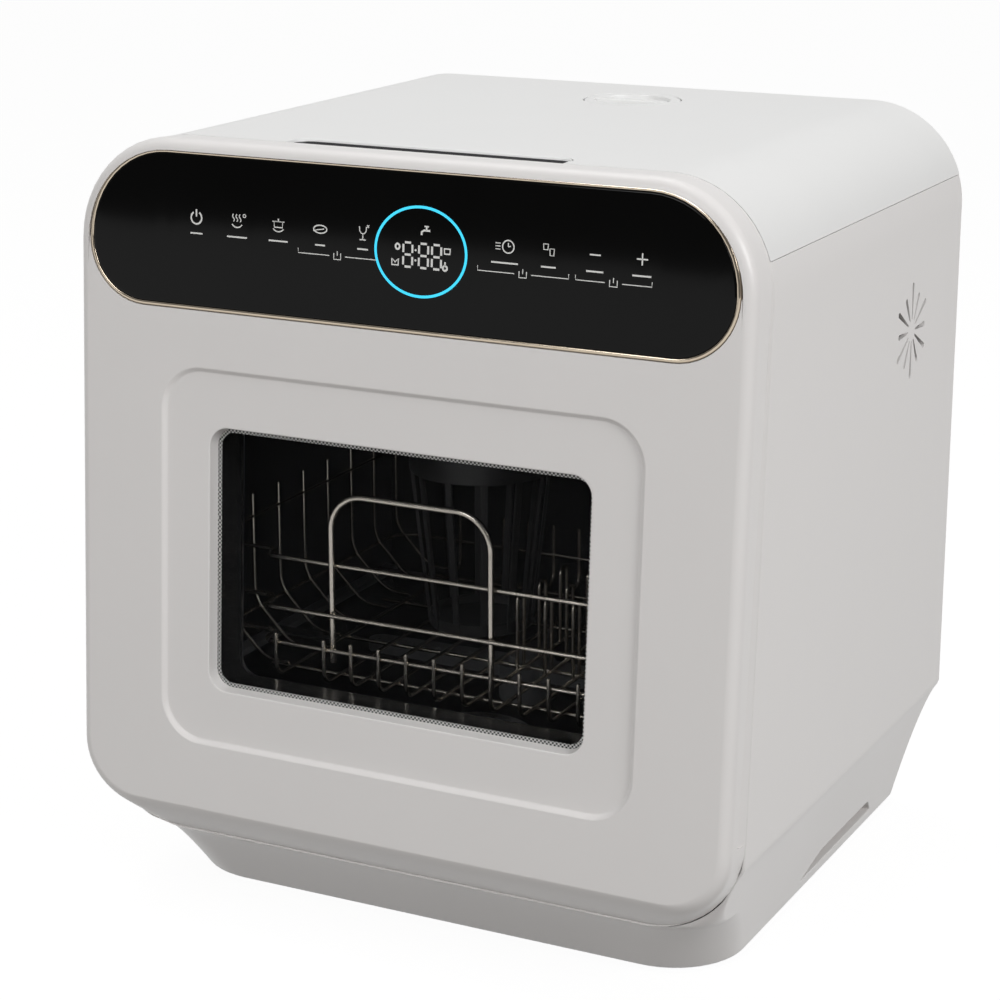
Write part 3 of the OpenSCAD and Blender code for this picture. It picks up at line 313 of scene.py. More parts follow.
def rounded(half, low, high, r_low, r_high, up=(), across=ACROSS):
    """Closed outline, anticlockwise from the foot of the lower right corner.

    Quarter circles are joined by straight sides, with points at the heights `up` and evenly across.
    """
    quarter = np.linspace(0, math.pi / 2, QUARTER)
    stops = np.asarray(up, float)
    level = np.linspace(0, 1, across + 2)[1:-1]

    def corner(x, s, r, turn):
        return np.stack([x + r * np.cos(quarter + turn), s + r * np.sin(quarter + turn)], -1)

    right_low = corner(half - r_low, low + r_low, r_low, -math.pi / 2)
    right_high = corner(half - r_high, high - r_high, r_high, 0)
    left_high = corner(r_high - half, high - r_high, r_high, math.pi / 2)
    left_low = corner(r_low - half, low + r_low, r_low, math.pi)
    side = np.stack([np.full(len(stops), half), stops], -1)
    top_x = right_high[-1, 0] * (1 - 2 * level)
    foot_x = left_low[-1, 0] * (1 - 2 * level)
    return np.concatenate([
        right_low, side, right_high, np.stack([top_x, np.full(across, high)], -1), left_high,
        (side * (-1, 1))[::-1], left_low, np.stack([foot_x, np.full(across, low)], -1)])


print("an outline has", len(rounded(10, 0, 10, 2, 2)), "points before its side stops")

# %% [markdown]
# ## The door's moulding
#
# The door is one white moulding with a rolled front edge. Its underside drops towards the back, its
# lower corners grow rounder on the way, and a narrow relief runs along its back edge beside the seam.
# The skin is a stack of outlines, one for each depth t.

# %% Door outlines at each depth
RELIEF_FOOT, RELIEF_WIDE, RELIEF_NARROW = 36.0, 11.5, 3.0
DOOR_STOPS = np.concatenate([[RELIEF_FOOT, RELIEF_FOOT + 0.5, 44.0], np.linspace(60, 320, 14)])


def edge_in(t):
    """How far the rolled edge is inside the door's outline: r - sqrt(r squared - (r - t) squared)."""
    return np.where(t < EDGE_R, EDGE_R - np.sqrt(np.maximum(0, EDGE_R ** 2 - (EDGE_R - t) ** 2)), 0.0)


def door_outline(t, gap=0.0):
    """The door's outline at a depth: its underside falls as (t over the thickness) to the power 0.9."""
    i = float(edge_in(t)) + gap
    share = min(1.0, t / DOOR_T)
    return rounded(HALF - i, -DROP * share ** 0.9 + 0.3 * i, DOOR_TOP - i,
                   FACE_LOW_R + (LOW_R - FACE_LOW_R) * share - gap, TOP_R - i, DOOR_STOPS)


def relief(outline):
    """Width of the relief beside the seam: widest at its foot, narrowest over the top, none below it."""
    width = np.clip(RELIEF_WIDE - 0.028 * (outline[:, 1] - RELIEF_FOOT), RELIEF_NARROW, RELIEF_WIDE)
    return np.where(outline[:, 1] < RELIEF_FOOT + 0.2, 0.0, width)


RELIEF_T = 13.0     # the outlines behind this depth make room for the relief
rolled = [EDGE_R * (1 - math.cos(a)) for a in np.linspace(0, math.pi / 2, 9)]
door_rings = [on_door(o[:, 0], t, o[:, 1]) for t in rolled + [8.0, 10.0, 12.0] for o in [door_outline(t)]]
for step_in, share in ((0.0, 1.0), (1.1, 1.0), (0.55, 0.5), (0.0, 0.04), (0.0, 0.0), (0.5, 0.0)):
    band = relief(door_outline(DOOR_T))
    t = DOOR_T - share * band
    ends = np.array([door_outline(v) for v in (RELIEF_T, DOOR_T)])
    mix = ((t - RELIEF_T) / (DOOR_T - RELIEF_T))[:, None]
    o = ends[0] * (1 - mix) + ends[1] * mix
    inward = np.where(band > 0, step_in, 0.0 if share > 0 else step_in)
    away = o - np.stack([np.clip(o[:, 0], TOP_R - HALF, HALF - TOP_R),
                         np.clip(o[:, 1], LOW_R - DROP, DOOR_TOP - TOP_R)], -1)
    away /= np.maximum(1e-9, np.linalg.norm(away, axis=1))[:, None]
    o = o - away * inward[:, None]
    door_rings.append(on_door(o[:, 0], t, o[:, 1]))
door_side = np.stack(door_rings)
print("door side skin", door_side.shape)

# %% [markdown]
# The face itself is flat, so it is a plate: the rolled edge's first outline, less the recess, and less
# the control panel's place at the top. The panel's trim meets the door's edge at both sides, so the
# face ends in two thin horns there.

# %% The face, the recess and the window's wall
def grown(box, grow, up, across):
    """The outline of a (half width, low, high, corner radii) box grown on all sides."""
    return rounded(box[0] + grow, box[1] - grow, box[2] + grow, box[3] + grow, box[-1] + grow, up, across)


def recess_outline(grow):
    return grown(RECESS, grow, np.linspace(75, 235, 17), 17)


def window_outline(grow):
    return grown(WINDOW, grow, np.linspace(95, 215, 13), 15)


PANEL_ACROSS = 31
PANEL_STOPS = (336.95, 337.3)   # between the panel's two corner arcs


def panel_outline(grow):
    return grown(PANEL, grow, PANEL_STOPS, PANEL_ACROSS)


def face_level(t):
    return lambda x, s: on_door(x, t, s)


POCKET_D = 4.9
face_edge = door_outline(0.0)
horn = QUARTER + len(DOOR_STOPS)
tail = len(face_edge) - ACROSS - horn
trim_low = panel_outline(TRIM)
foot_of_trim = np.concatenate([trim_low[-PANEL_ACROSS - QUARTER:], trim_low[:QUARTER]])[::-1]
crown = face_edge[horn:tail]
lower = np.concatenate([face_edge[tail:], face_edge[:horn], foot_of_trim])
pocket = np.concatenate([crown, foot_of_trim[::-1]])

WALL_WIDTH, RECESS_D = 3.6, 2.5
outer_wall = recess_outline(0)
wall_rows = [on_door(o[:, 0], RECESS_D * (1 - math.cos(math.pi * w)) / 2, o[:, 1])
             for w in np.linspace(0, 1, 9) for o in [recess_outline(-WALL_WIDTH * w)]]
window_wall = [(1.0, 2.5), (0.5, 2.58), (0.15, 2.8), (0.0, 3.2), (-0.3, 5.4), (-0.7, 7.8), (-1.0, 9.85),
               (4.0, 9.9), (9.0, 9.9)]
window_rows = [on_door(o[:, 0], t, o[:, 1]) for grow, t in window_wall for o in [window_outline(grow)]]
door_parts = [
    skin(door_side, around=True),
    plate(face_level(0.0), lower, outer_wall),
    skin(np.stack([on_door(pocket[:, 0], t, pocket[:, 1]) for t in (0.0, POCKET_D)]), around=True),
    plate(face_level(POCKET_D), pocket),
    skin(np.stack(wall_rows), around=True),
    plate(face_level(RECESS_D), recess_outline(-WALL_WIDTH), window_outline(1.0)),
    skin(np.stack(window_rows), around=True),
]
piece("door_face", door_parts, "door", [WHITE], ["door_outer"], sharp=28, wall=2.2)

# %% [markdown]
# ## The control glass and its metal trim
#
# The control panel is black glass, set flush, with a polished bronze rim. The rim is a bevelled
# profile carried along the panel's outline: each point of the profile has its own offset and depth.

# %% Glass, trim and marks
def along(outline_of, profile):
    """A profile of (outward offset, depth) pairs carried along an outline."""
    return np.stack([on_door(o[:, 0], t, o[:, 1]) for grow, t in profile for o in [outline_of(grow)]])


glass_profile = [(-0.2, 4.7), (-0.2, 0.9), (-0.35, 0.4), (-0.7, 0.12), (-1.3, 0.0)]
piece("control_face", [skin(along(panel_outline, glass_profile), around=True),
                       plate(face_level(0.0), panel_outline(-1.3)),
                       plate(face_level(4.7), panel_outline(-0.2))],
      "door", [GLASS], ["control_glass"], sharp=50)
trim_profile = [(-0.1, 4.7), (-0.1, 0.5), (0.05, 0.2), (0.3, 0.02), (0.8, -0.05), (1.35, 0.03), (1.85, 0.3),
                (2.2, 0.75), (2.35, 1.3), (2.35, 4.7), (-0.1, 4.7)]
piece("panel_trim", [skin(along(panel_outline, trim_profile), around=True)],
      "door", [BRONZE], ["control_trim"], sharp=50)

# %% [markdown]
# The marks on the glass are drawn as strokes. A stroke is a flat ribbon: each point of its line is
# moved to both sides along the line's normal. Under each sign stands a short plain bar.

# %% Strokes on the glass
MARK_T = -0.04


def ribbon(line, width, closed=False):
    """A flat ribbon in the door's face: its line plus and minus half the width along the normal."""
    line = np.asarray(line, float)
    if closed:
        ahead, behind = np.roll(line, -1, 0), np.roll(line, 1, 0)
    else:
        ahead, behind = np.vstack([line[1:], line[-1:]]), np.vstack([line[:1], line[:-1]])
    run = ahead - behind
    run /= np.maximum(1e-9, np.linalg.norm(run, axis=1))[:, None]
    normal = np.stack([-run[:, 1], run[:, 0]], -1) * width / 2
    rows = [on_door((line + k * normal)[:, 0], MARK_T, (line + k * normal)[:, 1]) for k in (-1, 1)]
    return skin(np.stack(rows), around=closed)


def ring(x, s, rx, rs, start=0.0, end=360.0, count=28):
    turn = np.radians(np.linspace(start, end, count))
    return np.stack([x + rx * np.cos(turn), s + rs * np.sin(turn)], -1)


def at(x, s, *points):
    return np.array(points, float) + (x, s)


def face_s(z):
    """Height along the face of a mark at world height z."""
    return (z - FACE_Z) / math.cos(LEAN)


marks = []


def stroke(x, s, *points, width=0.6, closed=False):
    """One stroke of a sign, its points counted from the sign's middle."""
    marks.append(ribbon(at(x, s, *points), width, closed))


def hoop(x, s, rx, rs, width=0.7, count=24):
    marks.append(ribbon(ring(x, s, rx, rs, count=count)[:-1], width, True))


def sweep(x, s, rx, rs, start, end, width=0.6):
    marks.append(ribbon(ring(x, s, rx, rs, start, end), width))


row, low_row, bar_row = face_s(423.0), face_s(409.0), face_s(414.2)
# on and off
sweep(-129, row, 3.5, 3.5, 122, 418, width=1.0)
stroke(-129, row, (0, 0.6), (0, 4.8), width=1.0)
# steam over a dish
wave = np.linspace(0, 1, 9)
for k in range(3):
    steam = np.stack([-104.4 + 2.2 * k + 0.6 * np.sin(wave * 2 * math.pi), row - 0.2 + 4.2 * wave], -1)
    marks.append(ribbon(steam, 0.6))
sweep(-102, row + 1.2, 4.2, 4.6, 218, 322, width=0.7)
hoop(-97.2, row + 3.4, 0.9, 0.9, width=0.5, count=13)
# pot
stroke(-75, row, (-2.8, 2.0), (-2.6, -1.2), (2.6, -1.2), (2.8, 2.0), width=0.7, closed=True)
stroke(-75, row, (-3.9, 2.0), (3.9, 2.0))
stroke(-75, row, (0, 2.0), (0, 3.6), width=0.8)
sweep(-75, row + 1.4, 4.6, 5.0, 222, 318)
# leaf
half_turn = np.linspace(0, math.pi, 13)
upper = np.stack([4.2 * np.cos(half_turn), 2.2 * np.sin(half_turn)], -1)
marks.append(ribbon(np.concatenate([upper, -upper[1:-1]]) + (-48, row), 0.7, True))
stroke(-48, row, (-4.6, -1.0), (2.4, 0.3), width=0.5)
# stemmed glass
stroke(-21, row, (-2.2, 3.6), (-2.0, 1.2), (-0.9, -0.2), (0.9, -0.2), (2.0, 1.2), (2.2, 3.6))
stroke(-21, row, (0, -0.2), (0, -3.4))
stroke(-21, row, (-1.9, -3.6), (1.9, -3.6))
stroke(-21, row, (2.6, 4.6), (3.8, 3.2))
stroke(-21, row, (3.8, 4.6), (2.6, 3.2))
# hurrying clock
hoop(68, row, 3.4, 3.4)
stroke(68, row, (0, 0), (0, 2.1))
stroke(68, row, (0, 0), (1.5, 0.4))
for k in (-1, 0, 1):
    stroke(60.4, row, (0, 1.6 * k), (3.0, 1.6 * k), width=0.5)
# two cups, less, more
stroke(92, row, (-3.2, 3.4), (-3.0, 0.4), (-0.6, 0.4), (-0.4, 3.4), closed=True)
stroke(92, row, (0.6, 1.0), (0.8, -2.6), (3.0, -2.6), (3.2, 1.0), closed=True)
stroke(119, row, (-3.2, 0), (3.2, 0), width=0.8)
stroke(146, row, (-3.2, 0), (3.2, 0), width=0.8)
stroke(146, row, (0, -3.2), (0, 3.2), width=0.8)
# brackets that join two keys
for start, end, x in ((-62, -12, -37), (50, 104, 77), (108, 152, 130)):
    stroke(0, low_row, (start, 2.6), (start, 0), (x - 5, 0), width=0.5)
    stroke(0, low_row, (x + 5, 0), (end, 0), (end, 2.6), width=0.5)
    stroke(x, low_row, (-2.2, 1.6), (-2.2, -1.8), (2.2, -1.8), (2.2, 1.6))
    stroke(x, low_row, (0, 0.2), (0, 2.8), width=0.5)
# a plain bar under each sign
BARS = ((-129, 4.0), (-102, 6.6), (-75, 6.2), (-48, 3.2), (-21, 3.4), (66, 8.0), (92, 4.4), (119, 5.0),
            (146, 5.4))
for x, half in BARS:
    stroke(x, bar_row, (-half, 0), (half, 0), width=0.9)

# %% [markdown]
# The display shows a clock with every bar lit: three digits and two dots, with five small signs
# round them, inside a lit ring.

# %% Clock and ring
mid_x, mid_s = 15.0, face_s(415.7)
BAR = 1.25
for x in (-7.8, 1.9, 9.9):
    for side in (-1, 1):
        for low in (-1, 1):
            stroke(mid_x + x, mid_s - 2.0, (side * 2.8, low * 1.1), (side * 2.8, low * 5.6), width=BAR)
    for level in (-1, 0, 1):
        stroke(mid_x + x, mid_s - 2.0, (-1.9, level * 6.6), (1.9, level * 6.6), width=BAR)
for k in (-2.8, 2.8):
    hoop(mid_x - 3.0, mid_s - 2.0 + k, 0.35, 0.35, width=0.6, count=9)
tap = mid_x + 3.5, mid_s + 10.5
stroke(*tap, (-3.0, -1.2), (-3.0, 0.4), (-1.6, 1.4), (2.2, 1.4), width=1.1)
stroke(*tap, (0, 1.4), (0, 3.6), width=1.0)
stroke(*tap, (-1.4, 3.6), (1.4, 3.6), width=0.8)
hoop(mid_x - 14.2, mid_s + 2.0, 1.3, 1.5, width=1.1, count=13)
stroke(mid_x - 15.6, mid_s - 7.0, (-2.0, 2.2), (-2.0, -1.2), (2.0, -1.2), (2.0, 2.2), (0, 0.4),
       width=1.0, closed=True)
stroke(mid_x + 16.4, mid_s + 1.8, (-1.8, 1.2), (-1.6, -1.6), (1.6, -1.6), (1.8, 1.2),
       width=1.0, closed=True)
hoop(mid_x + 15.2, mid_s - 7.6, 1.3, 1.3, width=1.1, count=13)
stroke(mid_x + 15.2, mid_s - 7.6, (0, 1.2), (0, 3.4), width=1.1)
lit = ring(mid_x, mid_s, 27.9, 24.4, count=97)[:-1]
marks.append((*ribbon(lit, 1.5, True), 1))
piece("key_marks", marks, "door", [INK, GLOW], sharp=60)

# %% [markdown]
# ## The window
#
# The pane lies seven millimetres behind the face. Its rim carries a printed band of fine dots, and
# behind it a glossy black sleeve runs back to the inner pane. The pane lets light through by its
# alpha, so lamps reach the rack behind it.

# %% Pane, printed band and sleeve
def dotted(name):
    """White dots a millimetre apart on black: a checker on Object coordinates."""
    material = finish(name, (0.012, 0.012, 0.012), 0.35)
    nodes, links = material.node_tree.nodes, material.node_tree.links
    check = nodes.new("ShaderNodeTexChecker")
    check.inputs["Scale"].default_value = 830.0
    check.inputs["Color1"].default_value = (0.012, 0.012, 0.012, 1)
    check.inputs["Color2"].default_value = (0.6, 0.6, 0.59, 1)
    place = next(n for n in nodes if n.type == "TEX_COORD")
    links.new(place.outputs["Object"], check.inputs["Vector"])
    links.new(check.outputs["Color"], nodes["Principled BSDF"].inputs["Base Color"])
    return material


FRIT = dotted("printed_dots")
pane_profile = [(9.0, 13.9), (8.9, 10.2), (8.7, 10.02)]
piece("window_pane", [skin(along(window_outline, pane_profile), around=True),
                      plate(face_level(10.02), window_outline(8.7)),
                      plate(face_level(13.9), window_outline(9.0))],
      "door", [PANE], ["window_outer"], sharp=50)
piece("window_print", [skin(along(window_outline, [(-0.6, 9.98), (-3.6, 9.98)]), around=True)],
      "door", [FRIT], sharp=50)
sleeve_profile = [(9.0, 14.1), (0.2, 14.1), (-1.0, 14.6), (-1.2, 16), (-2.4, 32.6), (-2.4, 33.3),
                  (2.0, 33.3), (2.0, 16.1), (9.0, 16.1), (9.0, 14.1)]
piece("window_tunnel", [skin(along(window_outline, sleeve_profile), around=True)],
      "door", [SLEEVE], ["window_sleeve"], sharp=40)

# %% [markdown]
# ## The casing
#
# The casing is a stack of plan outlines. Its sides stand straight down to 88 mm above the worktop and
# then draw in, quickly at first, as the power 0.75 of the way down. The front is open above a low lip,
# where the door sits. The vent and the hand grips are cut out of the side skin, and a plate with the
# right hole goes back into each place.

# %% Casing outlines at each height
def ease(u):
    return np.clip(u, 0, 1) ** 0.75


def side_half(z):
    """Half width of the casing: an arc at the top, and drawn in by the eased way down at the foot."""
    z = np.asarray(z, float)
    rise = np.maximum(0, z - TOP + TOP_R)
    arch = HALF - TOP_R + np.sqrt(np.maximum(0, TOP_R ** 2 - rise ** 2))
    return np.where(z > TAPER_Z, arch, HALF - SIDE_DRAW * ease((TAPER_Z - z) / (TAPER_Z - FOOT)))


def plinth_y(z):
    """y of the casing's front: the seam's plane, and drawn in by the eased way down below the lip."""
    if z > LIP_Z:
        return seam_y(z)
    return seam_y(LIP_Z) + FRONT_DRAW * float(ease((LIP_Z - z) / (LIP_Z - FOOT)))


def mouth_half(z):
    """Half width of the casing's front edge, which follows the door's rounded lower corner."""
    if z > LIP_Z + LOW_R:
        return float(side_half(z))
    return HALF - LOW_R + math.sqrt(max(0, LOW_R ** 2 - (LIP_Z + LOW_R - z) ** 2))


LIP_R = float(side_half(LIP_Z)) - mouth_half(LIP_Z)


def corner_r(z):
    if z > LIP_Z:
        return max(1.5, float(side_half(z)) - mouth_half(z))
    return LIP_R + (PLINTH_R - LIP_R) * (LIP_Z - z) / (LIP_Z - FOOT)


GRIP_BOX = (0.0, 140.0, 8.0, 25.5)      # y low, y high, z low, z high
VENT_HALF = 36
VENT_BOX = (FAN_Y - VENT_HALF, FAN_Y + VENT_HALF, FAN_Z - VENT_HALF, FAN_Z + VENT_HALF)
CASE_STOPS = np.unique(np.concatenate([[-72.0, -50, -25], np.linspace(*GRIP_BOX[:2], 15),
                                       np.linspace(*VENT_BOX[:2], 9), [150.0, 165, 176]]))
LEVELS = np.unique(np.concatenate([
    [FOOT, 2.4, 3.2, 4.4, 6.0], np.linspace(*GRIP_BOX[2:], 6), np.linspace(GRIP_BOX[3], LIP_Z, 8),
    np.linspace(LIP_Z, 92, 20), np.linspace(92, 104.3, 5), [140, 180, 220, 260],
    np.linspace(*VENT_BOX[2:], 9), [TOP - TOP_R - 8, TOP - TOP_R], np.linspace(TOP - TOP_R, COVER_Z, 7)]))
BOTTOM_IN = np.interp(LEVELS, [2.0, 2.4, 3.2, 4.4], [1.6, 0.8, 0.2, 0.0])
CASE_FRONT = 25     # points across the front, and across the back
BACK_R = 1.5        # radius of the two corners at the back
SIDE_X = 100        # further out than this, the skin is one of the two sides


def case_row(z, inset):
    """The casing's outline at one height, as world points."""
    plan = rounded(float(side_half(z)) - inset, plinth_y(z) + inset, BACK, corner_r(z), BACK_R, CASE_STOPS,
                   CASE_FRONT)
    return np.column_stack([plan, np.full(len(plan), z)])


case = np.stack([case_row(z, inset) for z, inset in zip(LEVELS, BOTTOM_IN)])
beside = np.roll(case, -1, 1)
middle = (case[:-1] + case[1:] + beside[:-1] + beside[1:]) / 4


def within(box):
    """True for the quads whose middle lies in a (y low, y high, z low, z high) box."""
    y, z = middle[..., 1], middle[..., 2]
    return (y > box[0]) & (y < box[1]) & (z > box[2]) & (z < box[3])


keep = np.ones(middle.shape[:2], bool)
keep[:, -CASE_FRONT - 1:] &= middle[:, -CASE_FRONT - 1:, 2] < LIP_Z
keep &= ~(within(GRIP_BOX) & (np.abs(middle[..., 0]) > SIDE_X))
keep &= ~(within(VENT_BOX) & (middle[..., 0] > SIDE_X))
print("casing skin", case.shape, "quads kept", int(keep.sum()))

# %% [markdown]
# The vent is a star of twelve tapered slots, long and short by turns, with round outer ends. The grip
# is a trough with slanted ends, cut into the draft of the side.

# %% Vent star and hand grips
def frame_of(box, ys, zs):
    """The outline of a rectangle with a point at every stop, so that it meets the skin's own points."""
    y0, y1, z0, z1 = box
    ys, zs = ys[(ys > y0) & (ys < y1)], zs[(zs > z0) & (zs < z1)]
    return np.concatenate([[[y0, z0]], np.column_stack([ys, np.full(len(ys), z0)]), [[y1, z0]],
                           np.column_stack([np.full(len(zs), y1), zs]), [[y1, z1]],
                           np.column_stack([ys[::-1], np.full(len(ys), z1)]), [[y0, z1]],
                           np.column_stack([np.full(len(zs), y0), zs[::-1]])])


def slot_outline(turn, inner, outer, w_in, w_out):
    """A tapered slot along a radius, rounded at both ends."""
    bow = np.linspace(-90, 90, 9)
    far = np.stack([outer - w_out + w_out * np.cos(np.radians(bow)), w_out * np.sin(np.radians(bow))], -1)
    near = np.stack([inner + w_in - w_in * np.cos(np.radians(bow)), -w_in * np.sin(np.radians(bow))], -1)
    flat = np.concatenate([far, near])
    c, s = math.cos(turn), math.sin(turn)
    return flat @ np.array([[c, s], [-s, c]]) + (FAN_Y, FAN_Z)


slots = [slot_outline(math.radians(30 * k), 6.5, 29.5 if k % 2 else 24.5, 0.7, 1.7) for k in range(12)]


def side_place(side):
    """Puts flat (y, z) points on one side of the casing."""
    return lambda y, z: np.stack([side * side_half(z), y, z], -1)


def inward(loop, depth, shrink):
    """A (y, z) loop on the right side, moved in by a depth and made smaller by a share."""
    centre = loop.mean(0)
    flat = centre + (loop - centre) * (1 - shrink)
    return np.column_stack([np.full(len(flat), HALF - depth), flat])


vent_parts = [plate(side_place(1), frame_of(VENT_BOX, CASE_STOPS, LEVELS), *slots)]
SLOT_WALL = ((0, 0), (0.4, 0.02), (3.2, 0.05))      # depth, share by which the slot is smaller there
vent_parts += [skin(np.stack([inward(s, d, k) for d, k in SLOT_WALL]), around=True) for s in slots]


GRIP_WALL = ((0.0, 0.0), (0.25, 0.35), (0.8, 0.6), (9.0, 1.0), (15.5, 1.4), (16.6, 2.0), (17.0, 3.0))


def grip_outline(shrink=0.0):
    """A trough's mouth: a trapezium, long below and short above, with rounded corners."""
    corners = np.array([[5, 10.9], [135, 10.9], [123, 22.5], [35, 22.5]])
    corners = corners + np.array([[1, 1], [-1, 1], [-1, -1], [1, -1]]) * shrink
    radii = (3.0, 3.0, 4.0, 6.0)
    out = []
    for k in range(4):
        a, b, c = corners[k - 1], corners[k], corners[(k + 1) % 4]
        u, v = (a - b) / np.linalg.norm(a - b), (c - b) / np.linalg.norm(c - b)
        f = np.linspace(0, 1, 7)[:, None]
        p, q = b + u * radii[k], b + v * radii[k]
        out.append((1 - f) ** 2 * p + 2 * f * (1 - f) * b + f ** 2 * q)
        n = c + (b - c) / np.linalg.norm(b - c) * radii[(k + 1) % 4]
        out.append(q + (n - q) * np.linspace(0, 1, 14)[1:-1, None])
    return np.concatenate(out)


def grip_parts(side):
    """The side's plate round the grip, the trough's wall and its floor."""
    rows = []
    for depth, shrink in GRIP_WALL:
        loop = grip_outline(shrink)
        rows.append(np.column_stack([side * (side_half(loop[:, 1]) - depth), loop]))
    return [plate(side_place(side), frame_of(GRIP_BOX, CASE_STOPS, LEVELS), grip_outline()),
            skin(np.stack(rows), around=True),
            plate(lambda y, z: np.stack([side * (side_half(z) - depth), y, z], -1), loop)]


case_parts = [skin(case, around=True, keep=keep), *vent_parts, *grip_parts(1), *grip_parts(-1)]
piece("casing_shell", case_parts, "casing", [WHITE], ["body_shell"], sharp=28, wall=2.6)

# %% [markdown]
# ## The top cover
#
# The cover closes the arch. Behind the door its front edge dips into a finger slot, and a round hole
# takes the fill cap. Its flat is a plate, its shoulders are a grid of arc angle and depth, and the
# finger slot is a stack of open paths.

# %% Cover, finger slot and cap
COVER_FOOT = COVER_Z + 0.3
FLAT_HALF = HALF - TOP_R
SLOT_HALF, SLOT_BACK, SLOT_D, SLOT_R = 86.0, seam_y(TOP) + 17.0, 18.0, 9.5
CAP_SIDES = 72


def slot_path(half, back, r, y0):
    """Open path round the finger slot: up the right end, round two corners and down the left end."""
    a = np.linspace(0, math.pi / 2, 9)
    right = np.stack([half - r + r * np.cos(a), back - r + r * np.sin(a)], -1)
    left = (right * (-1, 1))[::-1]
    rise = np.linspace(0, 1, 5)[:-1, None]
    start = np.array([half, y0]) + (right[0] - (half, y0)) * rise
    cross = right[-1] + (left[0] - right[-1]) * np.linspace(0, 1, 17)[1:-1, None]
    return np.concatenate([start, right, cross, left, (start * (-1, 1))[::-1]])


def hole_ring(gap):
    """A circle at a gap outside the cap."""
    return ring(CAP_X, CAP_Y, CAP_R + gap, CAP_R + gap, count=CAP_SIDES + 1)[:-1]


def at_height(z):
    """Puts flat (x, y) points at a height."""
    return lambda x, y: np.stack([x, y, np.full_like(x, z)], -1)


foot_angle = math.asin((COVER_FOOT - TOP + TOP_R) / TOP_R)
angles = np.linspace(foot_angle, math.pi / 2, 15)
top_front = seam_y(TOP)
depth_stops = np.linspace(0, 1, 24)
shoulders = []
for side in (1, -1):
    z = (TOP - TOP_R + TOP_R * np.sin(angles))[:, None]
    x = side * (FLAT_HALF + TOP_R * np.cos(angles))[:, None]
    y = seam_y(z) + (BACK - seam_y(z)) * depth_stops[None, :]
    x, y, z = np.broadcast_arrays(x, y, z)
    shoulders.append(skin(np.stack([x, y, z], -1)))
side_ys = (top_front + (BACK - top_front) * depth_stops)[1:-1]
left_edge, right_edge = [np.column_stack([np.full(len(side_ys), x), side_ys]) for x in (-FLAT_HALF, FLAT_HALF)]
top_loop = np.concatenate([
    slot_path(SLOT_HALF + 1.5, SLOT_BACK + 1.5, SLOT_R, top_front), [[-FLAT_HALF, top_front]], left_edge,
    [[-FLAT_HALF, BACK], [FLAT_HALF, BACK]], right_edge[::-1], [[FLAT_HALF, top_front]]])
slot_wall = ((1.5, 0.0), (0.8, 0.12), (0.25, 0.6), (0.0, 1.5), (-4.0, 10.0), (-6.2, 15.0), (-7.2, 16.8),
             (-8.8, 17.9), (-10.5, SLOT_D))
slot_rows = []
for out, down in slot_wall:
    path = slot_path(SLOT_HALF + 0.35 * out, SLOT_BACK + out, SLOT_R + 0.5 * out, seam_y(TOP - down))
    slot_rows.append(np.column_stack([path, np.full(len(path), TOP - down)]))
slot_rows = np.stack(slot_rows)
hole_wall = ((1.2, 0.0), (0.75, 0.12), (0.45, 0.5), (0.4, 1.2), (0.4, 6.0))
hole_rows = np.stack([np.column_stack([hole_ring(g), np.full(CAP_SIDES, TOP - d)]) for g, d in hole_wall])
# Finish 1, the dark plastic, colours the finger slot's walls below their rim and its floor, and the hole's
# wall below its rim: painted shade in the slot and in the gap round the cap.
cover_parts = shoulders + [
    plate(at_height(TOP), top_loop, hole_ring(1.2)),
    skin(slot_rows[:4]), (*skin(slot_rows[3:]), 1),
    (*plate(at_height(TOP - SLOT_D), slot_rows[-1][:, :2]), 1),
    skin(hole_rows[:4], around=True), (*skin(hole_rows[3:], around=True), 1)]
piece("cover", cover_parts, "casing", [WHITE_LIT_TOP, DARK], ["top_cover", "cap_seat"], sharp=30,
      wall=2.4)


def lathe(profile, x, y, count=CAP_SIDES):
    """A surface of revolution: each (radius, height) pair of the profile goes round a vertical axis."""
    turn = np.linspace(0, 2 * math.pi, count + 1)[:-1]
    profile = np.asarray(profile, float)
    r, z = profile[:, :1], profile[:, 1:]
    z = np.broadcast_to(z, (len(profile), count))
    return skin(np.stack([x + r * np.cos(turn), y + r * np.sin(turn), z], -1), around=True)


WELL_R = 23.6
cap_profile = [(0.01, 454), (CAP_R, 454), (CAP_R, 463.2), (30.2, 464.4), (29.2, TOP), (24.8, TOP),
               (24.0, 464.6), (23.7, 463.8), (23.4, 459), (22.6, 457.6), (20.5, 457), (0.01, 457)]
bar_y = np.array([-3.0, -3.0, -2.7, -2.0, 0.0, 2.0, 2.7, 3.0, 3.0])
bar_z = np.array([456.5, 463.6, 464.5, 464.95, 465.0, 464.95, 464.5, 463.6, 456.5])
bar_x = np.linspace(-WELL_R - 0.6, WELL_R + 0.6, 12)[:, None]
bar = np.stack(np.broadcast_arrays(CAP_X + bar_x, CAP_Y + bar_y[None, :], bar_z[None, :]), -1)
piece("tank_cap", [lathe(cap_profile, CAP_X, CAP_Y), skin(bar)], "fill_cap", [WHITE_LIT_TOP],
      ["fill_cap"], sharp=35)

# %% [markdown]
# ## The wire rack
#
# Every wire is a circle carried along a flat path with rounded corners. The circle's frame is the
# path's tangent, the normal of the plane that the path lies in, and their cross product, so a whole
# wire is one array. Small domes close its ends.

# %% Bent wires
WIRE_R, RAIL_R, BAR_R, PEG_R = 1.2, 1.5, 2.0, 1.3
RACK_Z, RACK_Y, RACK_BACK, RACK_SIDE, JOG_Y = 140.0, -124.0, 114.0, 155.0, -102.0


